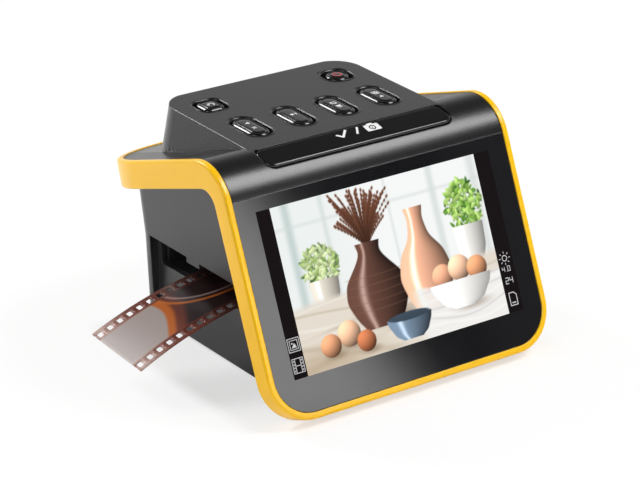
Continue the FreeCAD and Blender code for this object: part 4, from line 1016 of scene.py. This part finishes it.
# %% [markdown]
# ## Signs on the display
# Beside the picture the display shows small white signs: a sun with a value for the light, a count, a
# memory card, and at the left a picture and a strip of film. They are flat shapes like the marks on
# the keys, but they glow. The numbers are drawn with straight strokes, as on a pocket calculator.

# %% Numbers and lit white
SEGMENTS = {
    "0": [[(0, 0), (1, 0), (1, 1.7), (0, 1.7), (0, 0)]],
    "2": [[(0, 1.7), (1, 1.7), (1, 0.85), (0, 0.85), (0, 0), (1, 0)]],
    "4": [[(0, 1.7), (0, 0.85), (1, 0.85)], [(1, 1.7), (1, 0)]],
    ".": [[(0.35, 0), (0.65, 0)]],
}
SEGMENT_MIDDLE = 0.85


def number(text, size, width):
    """A plain number drawn with straight strokes."""
    shapes = []
    start = -len(text) * size * 0.75
    for letter in text:
        for line in SEGMENTS[letter]:
            placed = [(start + x * size, (y - SEGMENT_MIDDLE) * size) for x, y in line]
            shapes.append(ribbon(placed, width))
        start += size * (0.9 if letter == "." else 1.5)
    return shapes


def glow(name, colour):
    """Lit white lines on the display: a little uneven, as the light behind them is."""
    material, tree, place = new_material(name)
    tint = mottled(tree, place, 2, linear(colour), linear(colour, 0.8))
    return finish_material(material, add(tree, "ShaderNodeBsdfPrincipled", {
        "Base Color": linear("#202020"), "Roughness": 0.6, "Specular IOR Level": 0.0,
        "Emission Color": tint, "Emission Strength": 0.75}))


lit_white = glow("lit_white_signs", "#F0F0F0")
print("numbers are made from", list(SEGMENTS))

# %% [markdown]
# A font of symbols could supply the signs, but it would be one more file. Each is a short list of
# ribbons and patches in mm about its own centre, so it can be drawn on squared paper and then placed.

# %% The signs
sun = [ribbon(arc((0.0, 0.0), 1.1, steps=16), 0.32, closed=True)]
for turn in [math.radians(45 * ray) for ray in range(8)]:
    sun.append(ribbon([(1.9 * math.cos(turn), 1.9 * math.sin(turn)),
                       (2.7 * math.cos(turn), 2.6 * math.sin(turn))], 0.3))
card = [ribbon([(-1.7, -2.5), (1.7, -2.5), (1.7, 1.4), (0.6, 2.5), (-1.7, 2.5)], 0.36, closed=True),
        ribbon([(-0.9, -1.5), (0.9, -1.5)], 0.45)]
picture_sign = [ribbon(box((0.0, 0.0), 5.0, 5.0), 0.28, closed=True),
                ribbon(box((0.0, 0.0), 3.4, 3.4), 0.26, closed=True),
                patch([(-1.2, -1.1), (1.2, -1.1), (0.3, 0.7)]),
                patch(arc((-0.7, 0.6), 0.35, steps=10))]
film_lines = [[(x, -2.7), (x, 2.7)] for x in (-1.2, 1.2, -2.4, 2.4)]
film_lines += [[(-1.2, 0.0), (1.2, 0.0)], [(-2.4, -2.7), (2.4, -2.7)], [(-2.4, 2.7), (2.4, 2.7)]]
film_sign = [ribbon(line, 0.27) for line in film_lines]
film_sign += [patch(box((side * 1.8, -1.8 + 1.2 * k), 0.55, 0.5))
              for side in (-1, 1) for k in range(4)]
SIGNS = {"sun": ((50.6, 34.6), sun), "light_value": ((50.9, 30.4), number("4.0", 1.1, 0.26)),
         "count": ((50.9, 25.8), number("24", 1.35, 0.3)), "card": ((50.6, 18.5), card),
         "picture": ((-51.4, 26.1), picture_sign), "film": ((-51.4, 18.3), film_sign)}
for name, (centre, shapes) in SIGNS.items():
    mark(f"display_sign_{name}", PANEL, centre, PICTURE_LEVEL, shapes, lit_white, "scanner",
         "panel_glass")
print("signs:", list(SIGNS))

# %% [markdown]
# ## The film
# A strip of colour negative film hangs out at the left. Real film is a clear brown base with a row of
# perforations along each edge, so the holes have to be holes, with rounded corners. The strip is
# worked out flat, as distance along and across, and then every point is moved to where the strip lies:
# level in the tray, then curling down over a slightly skewed line. One formula bends it all.

# %% Sizes of the strip, and how it lies
FILM_CENTRE = 12.3
FILM_LEVEL = 30.2
FILM_LINE = -18.4
FILM_CURL = 159.0
FILM_SKEW = math.radians(8.6)
FILM_INNER = -58.0
FILM_OUTER = 92.6
FILM_HALF = 17.5
FILM_THICK = 0.16
FRAME_HALF = 12.0
PITCH = 4.75
HOLE = (1.98, 2.8, 0.45)
HOLE_ROW = 14.09
FIRST_HOLE = 2.0


def film_point(along, across):
    """Where a point of the flat strip lies, in metres."""
    outwards = Vector((-math.cos(FILM_SKEW), -math.sin(FILM_SKEW), 0.0))
    flat = Vector((-along, FILM_CENTRE + across, FILM_LEVEL))
    reach = (flat - Vector((FILM_LINE, FILM_CENTRE, FILM_LEVEL))).dot(outwards)
    if reach > 0:
        turn = reach / FILM_CURL
        flat += outwards * (FILM_CURL * math.sin(turn) - reach)
        flat.z -= FILM_CURL * (1 - math.cos(turn))
    return flat * MM


print("outer end in mm:", [round(c / MM, 1) for c in film_point(FILM_OUTER, 0.0)])

# %% [markdown]
# Each edge is a row of cells, one for each perforation: a skin between the cell's square border and
# the hole's rounded outline, which have equally many points. The middle is a plain grid whose lines
# meet the border points of the cells. Points that meet become one, so that the strip is a single
# sheet with no walls inside, and a modifier gives it its thickness.

# %% The strip's mesh
STOPS = (0.1, 0.3, 0.5, 0.75, 1.0)
LANES = 49
GRID, GRID_SHIFT = 0.001, 0.33
CORNER_RUNS = (((0, -1), (1, 0)), ((1, 0), (0, 1)), ((0, 1), (-1, 0)), ((-1, 0), (0, -1)))


def between(share, low, middle, half, high):
    """Low at -1, high at 1, and so many halves from the middle between them."""
    if abs(share) > 0.999:
        return high if share > 0 else low
    return middle + share * half


def hole_cell(centre, side, start, end):
    """One length of the edge with its rounded hole, as flat points and faces."""
    low, high = (FRAME_HALF, FILM_HALF) if side > 0 else (-FILM_HALF, -FRAME_HALF)
    hole = [(centre + x, side * HOLE_ROW + y) for x, y in outline(*HOLE)]
    border = []
    for (x0, y0), (x1, y1) in CORNER_RUNS:
        for first, second in [(1, stop) for stop in STOPS] + [(stop, 1) for stop in STOPS[-2::-1]]:
            x, y = x0 * first + x1 * second, y0 * first + y1 * second
            border.append((between(x, start, centre, PITCH / 2, end),
                           between(y, low, (low + high) / 2, (high - low) / 2, high)))
    return skin([border, hole], close_ends=False)


parts, stations = [], [FILM_INNER]
steps = int((FILM_OUTER - FILM_INNER) / PITCH)
for k in range(steps):
    centre = FILM_OUTER - FIRST_HOLE - k * PITCH
    start = centre - PITCH / 2 if k < steps - 1 else FILM_INNER
    end = centre + PITCH / 2 if k else FILM_OUTER
    stations += [centre + turn * stop * PITCH / 2 for turn in (-1, 1) for stop in STOPS[:-1]] + [end]
    parts += [hole_cell(centre, side, start, end) for side in (-1, 1)]
lanes = np.linspace(-FRAME_HALF, FRAME_HALF, LANES).tolist()
middle_faces = [(i * LANES + j, (i + 1) * LANES + j, (i + 1) * LANES + j + 1, i * LANES + j + 1)
                for i in range(len(stations) - 1) for j in range(LANES - 1)]
parts.append(([(a, b) for a in sorted(stations) for b in lanes], middle_faces))
flat_points, film_faces = join_meshes(parts)
met = {}
merged = [met.setdefault(tuple(math.floor(c / GRID + GRID_SHIFT) for c in point), len(met))
          for point in flat_points]
flat_points = np.array([(a * GRID, b * GRID) for a, b in met])
film_faces = [tuple(merged[k] for k in face) for face in film_faces]
print("film points:", len(flat_points), "perforations:", 2 * steps)

# %% [markdown]
# A developed negative shows its pictures with light and dark the wrong way round, over an orange brown
# mask. The end that hangs out is painted pale, as painted light of the white paper seen through the
# film; towards the slot it is painted dark, as painted shade where the film runs into the slot's
# shadow.
# The colours are painted on the points of the mesh, as on the display: layer over layer, each a mask
# and a colour, with distances in mm from the outer end. Between the rows of holes they make a few soft
# curved shapes. A scanned negative would need an image file, and these shapes need none.

# %% The film's colours
from_end = FILM_OUTER - flat_points[:, 0]
across_film = flat_points[:, 1]
in_frames = soften((FRAME_HALF - 0.2 - np.abs(across_film)) / 0.8)
end_curve = 23 + 5.5 * np.sin((across_film + 8) / 9)
bow = np.hypot(from_end - 52, (across_film - 16) * 1.25)
streak = 1 - np.abs(across_film - 1.5 + (from_end - 60) * 0.05) / 1.4
FILM_LAYERS = (
    (np.ones(len(flat_points)), "#6E3325"),
    # painted shade: darker towards the slot, where the film runs into shadow
    (soften((from_end - 20) / 30), "#3A211D"),
    (in_frames * soften((from_end - end_curve - 4) / 4), "#241617"),
    (in_frames * soften((end_curve + 2 - from_end) / 2.5), "#B95F20"),
    # painted light: pale near the outer end and palest at its tip, where the white paper shows through
    (in_frames * soften((end_curve - 2.5 - from_end) / 1.2), "#A69995"),
    (in_frames * soften((1.5 - from_end) / 1.5) * 0.8, "#BDB1AD"),
    (in_frames * soften(1 - np.abs(bow - 25) / 1.6) * 0.9, "#C26A25"),
    (in_frames * soften(1 - np.abs(bow - 21.5) / 1.2) * 0.7, "#BFA8A2"),
    # painted shade: the frames darkest inside the slot
    (in_frames * soften((from_end - 52) / 10) * 0.8, "#170D0E"),
    (soften(streak) * (from_end > 50) * 0.35, "#5A2A24"),
    # painted light: the edges are pale near the outer end as well
    ((1 - in_frames) * soften((20 - from_end) / 18) * 0.9, "#B3958B"),
)
film_colour_and_light = np.zeros((len(flat_points), 3))
for mask, colour in FILM_LAYERS:
    film_colour_and_light += mask[:, None] * (tone(colour) - film_colour_and_light)
print("mean of the film:", [round(float(c), 2) for c in film_colour_and_light.mean(axis=0)])

# %% [markdown]
# Film is cellulose acetate with a gelatine layer. It is smooth, so light runs over it in broad soft
# patches, and a slight wave in it keeps those patches from looking ruled. It could be clear, with
# light coming through, but over white paper the painted colours already say that, and stay calm.

# %% The film
def film_material():
    """Acetate film: a broad soft shine over brown, slightly uneven."""
    material, tree, place = new_material("acetate_negative_film")
    paint = add(tree, "ShaderNodeVertexColor", layer_name="film")
    wave = add(tree, "ShaderNodeTexNoise", {"Vector": place, "Scale": 1 / (25 * MM)})
    spread = add(tree, "ShaderNodeMapRange", {"Value": wave, "To Min": 0.26, "To Max": 0.36})
    return finish_material(material, add(tree, "ShaderNodeBsdfPrincipled", {
        "Base Color": paint, "Roughness": spread, "IOR": 1.48, "Specular IOR Level": 0.25}))


film = piece_from("negative_film", [film_point(a, b) for a, b in flat_points], film_faces,
                  film_material(), "film", "film")
paint_points(film, "film", film_colour_and_light)
thick = film.modifiers.new("thickness", "SOLIDIFY")
thick.thickness = FILM_THICK * MM
thick.offset = 0.0
flat_faces_shade_flat(film)
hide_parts("film_strip")
print("film faces:", len(film_faces))

# %% [markdown]
# ## The floor
# The photograph is a plain catalogue view on white. The floor is white paper. Its shadow is drawn in
# full close to the feet and fades to plain white a little further out, as it does under a wide soft
# light. Only the camera sees that fading: for the light, the floor is paper everywhere.

# %% White paper
FOOTPRINT = (0.066, 0.06, 0.0)
FLOOR_REACH = 6
WHITE_AT_FEET, WHITE_BESIDE = 0.6, 0.86


def staged_plane(name, left, right, low, high, material):
    """A rectangle that belongs to the studio and not to the scanner."""
    mesh = bpy.data.meshes.new(name)
    points = [(left, low, 0), (right, low, 0), (right, high, 0), (left, high, 0)]
    mesh.from_pydata(points, [], [(0, 1, 2, 3)])
    mesh.materials.append(material)
    plane = bpy.data.objects.new(name, mesh)
    bpy.context.scene.collection.objects.link(plane)
    return plane


def floor_material():
    """White paper: matt, with a barely visible fibre 3 mm long."""
    material, tree, place = new_material("white_paper_sweep")
    paper = add(tree, "ShaderNodeBsdfPrincipled", {
        "Base Color": mottled(tree, place, 3, linear("#F4F4F4"), linear("#FAFAFA")),
        "Roughness": 0.9, "Specular IOR Level": 0.0})
    white = add(tree, "ShaderNodeEmission", {"Color": linear("#FFFFFF"), "Strength": 1.0})
    mirrored = add(tree, "ShaderNodeVectorMath", {0: place}, operation="ABSOLUTE")
    outside = add(tree, "ShaderNodeVectorMath", {0: mirrored, 1: FOOTPRINT}, operation="SUBTRACT")
    beside = add(tree, "ShaderNodeVectorMath", {0: outside, 1: (0, 0, 0)}, operation="MAXIMUM")
    away = add(tree, "ShaderNodeVectorMath", {0: beside}, operation="LENGTH").outputs["Value"]
    near = add(tree, "ShaderNodeMapRange", {"Value": away, "From Max": 0.01, "To Min": WHITE_AT_FEET,
                                            "To Max": WHITE_BESIDE}, interpolation_type="SMOOTHSTEP")
    far = add(tree, "ShaderNodeMapRange", {"Value": away, "From Min": 0.1, "From Max": 0.8,
                                           "To Max": 1 - WHITE_BESIDE})
    share = add(tree, "ShaderNodeMath", {0: near, 1: far}, operation="ADD")
    camera_ray = add(tree, "ShaderNodeLightPath").outputs["Is Camera Ray"]
    seen = add(tree, "ShaderNodeMath", {0: camera_ray, 1: share}, operation="MULTIPLY")
    return finish_material(material, add(tree, "ShaderNodeMixShader", {0: seen, 1: paper, 2: white}))


staged_plane("floor", -FLOOR_REACH, FLOOR_REACH, -FLOOR_REACH, FLOOR_REACH, floor_material())
print("floor is", 2 * FLOOR_REACH, "m wide")

# %% [markdown]
# ## The surroundings
# To the camera the background is white. The black plastics of the scanner mirror what is round them:
# white low down behind the object, and dark above and in front of it. A world that glows low at the
# back and is dim elsewhere gives them that, with no backdrop to build.

# %% World
BACK = (0.577, 0.816, 0.0)
GLOW_TOP, GLOW_FULL = 0.62, 0.25
GLOW_SIDE, GLOW_MIDDLE = 0.15, 0.65
GLOW_LEVEL, DIM_LEVEL = 0.72, 0.12
world = bpy.data.worlds.new("studio")
bpy.context.scene.world = world
world.use_nodes = True
tree = world.node_tree
tree.nodes.clear()
way = add(tree, "ShaderNodeTexCoord").outputs["Generated"]
height = add(tree, "ShaderNodeSeparateXYZ", {0: way}).outputs["Z"]
low_down = add(tree, "ShaderNodeMapRange", {"Value": height, "From Min": GLOW_TOP,
                                            "From Max": GLOW_FULL})
facing = add(tree, "ShaderNodeVectorMath", {0: way, 1: BACK}, operation="DOT_PRODUCT").outputs["Value"]
behind = add(tree, "ShaderNodeMapRange", {"Value": facing, "From Min": GLOW_SIDE,
                                          "From Max": GLOW_MIDDLE})
both = add(tree, "ShaderNodeMath", {0: low_down, 1: behind}, operation="MULTIPLY")
level = add(tree, "ShaderNodeMath", {0: both, 1: GLOW_LEVEL, 2: DIM_LEVEL}, operation="MULTIPLY_ADD")
backdrop = add(tree, "ShaderNodeBackground", {"Color": linear("#FFFFFF"), "Strength": level})
white = add(tree, "ShaderNodeBackground", {"Color": linear("#FFFFFF"), "Strength": 1.0})
camera_ray = add(tree, "ShaderNodeLightPath").outputs["Is Camera Ray"]
mixed = add(tree, "ShaderNodeMixShader", {0: camera_ray, 1: backdrop, 2: white})
add(tree, "ShaderNodeOutputWorld", {"Surface": mixed})
print("world level:", round(GLOW_LEVEL + DIM_LEVEL, 2), "low at the back,", DIM_LEVEL, "elsewhere")

# %% [markdown]
# ## Lamps
# A large soft lamp high at the right draws the one broad highlight along the bend. A weaker one at
# the left opens up the side, and a third behind lights the top of the island. A panorama image could
# do all of this at once, but lamps can each be put where a highlight asks for one. What a surface
# mirrors is how bright a lamp's face is, so a lamp is given by that, and its power follows.

# %% Lamps
LAMP_CENTRE = Vector((0.0, 0.0, 0.05))


def lamp(name, way, distance, size, radiance):
    """A square soft lamp that stands in a direction from the object and faces it."""
    light = bpy.data.lights.new(name, "AREA")
    light.shape = "SQUARE"
    light.size = size
    light.energy = math.pi * size * size * radiance
    holder = bpy.data.objects.new(name, light)
    holder.location = Vector(way).normalized() * distance + LAMP_CENTRE
    holder.rotation_euler = Vector(way).to_track_quat("Z", "Y").to_euler()
    holder.visible_camera = False
    bpy.context.scene.collection.objects.link(holder)
    return holder


lamps = [lamp("high_right", (0.47, -0.40, 0.78), 1.1, 0.48, 13.0),
         lamp("left_side", (-0.84, -0.24, 0.48), 1.3, 0.8, 2.3),
         lamp("back_left", (-0.30, 0.75, 0.59), 1.3, 0.42, 22.0)]
bpy.context.scene.view_settings.view_transform = "Standard"
print("lamps in watts:", {holder.name: round(holder.data.energy, 1) for holder in lamps})

# %% [markdown]
# ## The fading card
# The panel shades from grey to black, because a soft card stands low at the right and ends half way
# along what the panel mirrors. It is a small plane that glows and fades towards one side. The panel
# mirrors the view in one direction, so the card stands there, square to it. Camera rays pass through,
# so that it never hides the object in another view.

# %% Card
MIRROR = Vector((0.5334, -0.8051, 0.2594))
CARD_FAR = 0.55
CARD = (-0.30, 0.06, -0.05, 0.12)
FADE_START, FADE_END = -0.038, 0.012
SLANT = 0.45
CARD_LEVEL = 4.9


def card_material():
    """A lit card whose light fades out along one side."""
    material, tree, place = new_material("fading_light_card")
    slanted = add(tree, "ShaderNodeVectorMath", {0: place, 1: (1.0, SLANT, 0.0)},
                  operation="DOT_PRODUCT")
    fade = add(tree, "ShaderNodeMapRange", {
        "Value": slanted.outputs["Value"], "From Min": FADE_END, "From Max": FADE_START,
        "To Max": CARD_LEVEL}, interpolation_type="SMOOTHSTEP")
    light = add(tree, "ShaderNodeEmission", {"Color": linear("#FFFFFF"), "Strength": fade})
    camera_ray = add(tree, "ShaderNodeLightPath").outputs["Is Camera Ray"]
    clear = add(tree, "ShaderNodeBsdfTransparent")
    mixed = add(tree, "ShaderNodeMixShader", {0: camera_ray, 1: light, 2: clear})
    return finish_material(material, mixed)


side = (Vector((1.0, 0.0, 0.0)) - MIRROR * MIRROR.x).normalized()
upward = MIRROR.cross(side).normalized()
foot = spot(PANEL, 0.0, 0.0) + MIRROR * CARD_FAR
light_card = staged_plane("fading_card", *CARD, card_material())
axes = Matrix((side, upward, side.cross(upward))).transposed().to_4x4()
light_card.matrix_world = Matrix.Translation(foot) @ axes
light_card.visible_camera = False
print("card stands at", [round(c, 2) for c in foot], "and points up", round(upward.z, 2))

# %% [markdown]
# ## The camera
# The viewing angle was worked out from the panel, the shelf and the film slot. The camera stands about
# a metre away, to the left and above, with a long lens, so edges converge only a little.

# %% Camera
PLACE = Vector((-0.54414, -0.76104, 0.43662))
FORWARD = Vector((0.5334, 0.7514, -0.3885)).normalized()
ROLL = math.radians(-0.19)
lens = bpy.data.cameras.new("camera")
lens.sensor_width = 36.0
lens.lens = 146.25
camera = bpy.data.objects.new("camera", lens)
camera.location = PLACE
turn = FORWARD.to_track_quat("-Z", "Y").to_matrix() @ Matrix.Rotation(ROLL, 3, "Z")
camera.rotation_euler = turn.to_euler()
bpy.context.scene.collection.objects.link(camera)
bpy.context.scene.camera = camera
print("camera stands", round(PLACE.length, 3), "m from the origin")
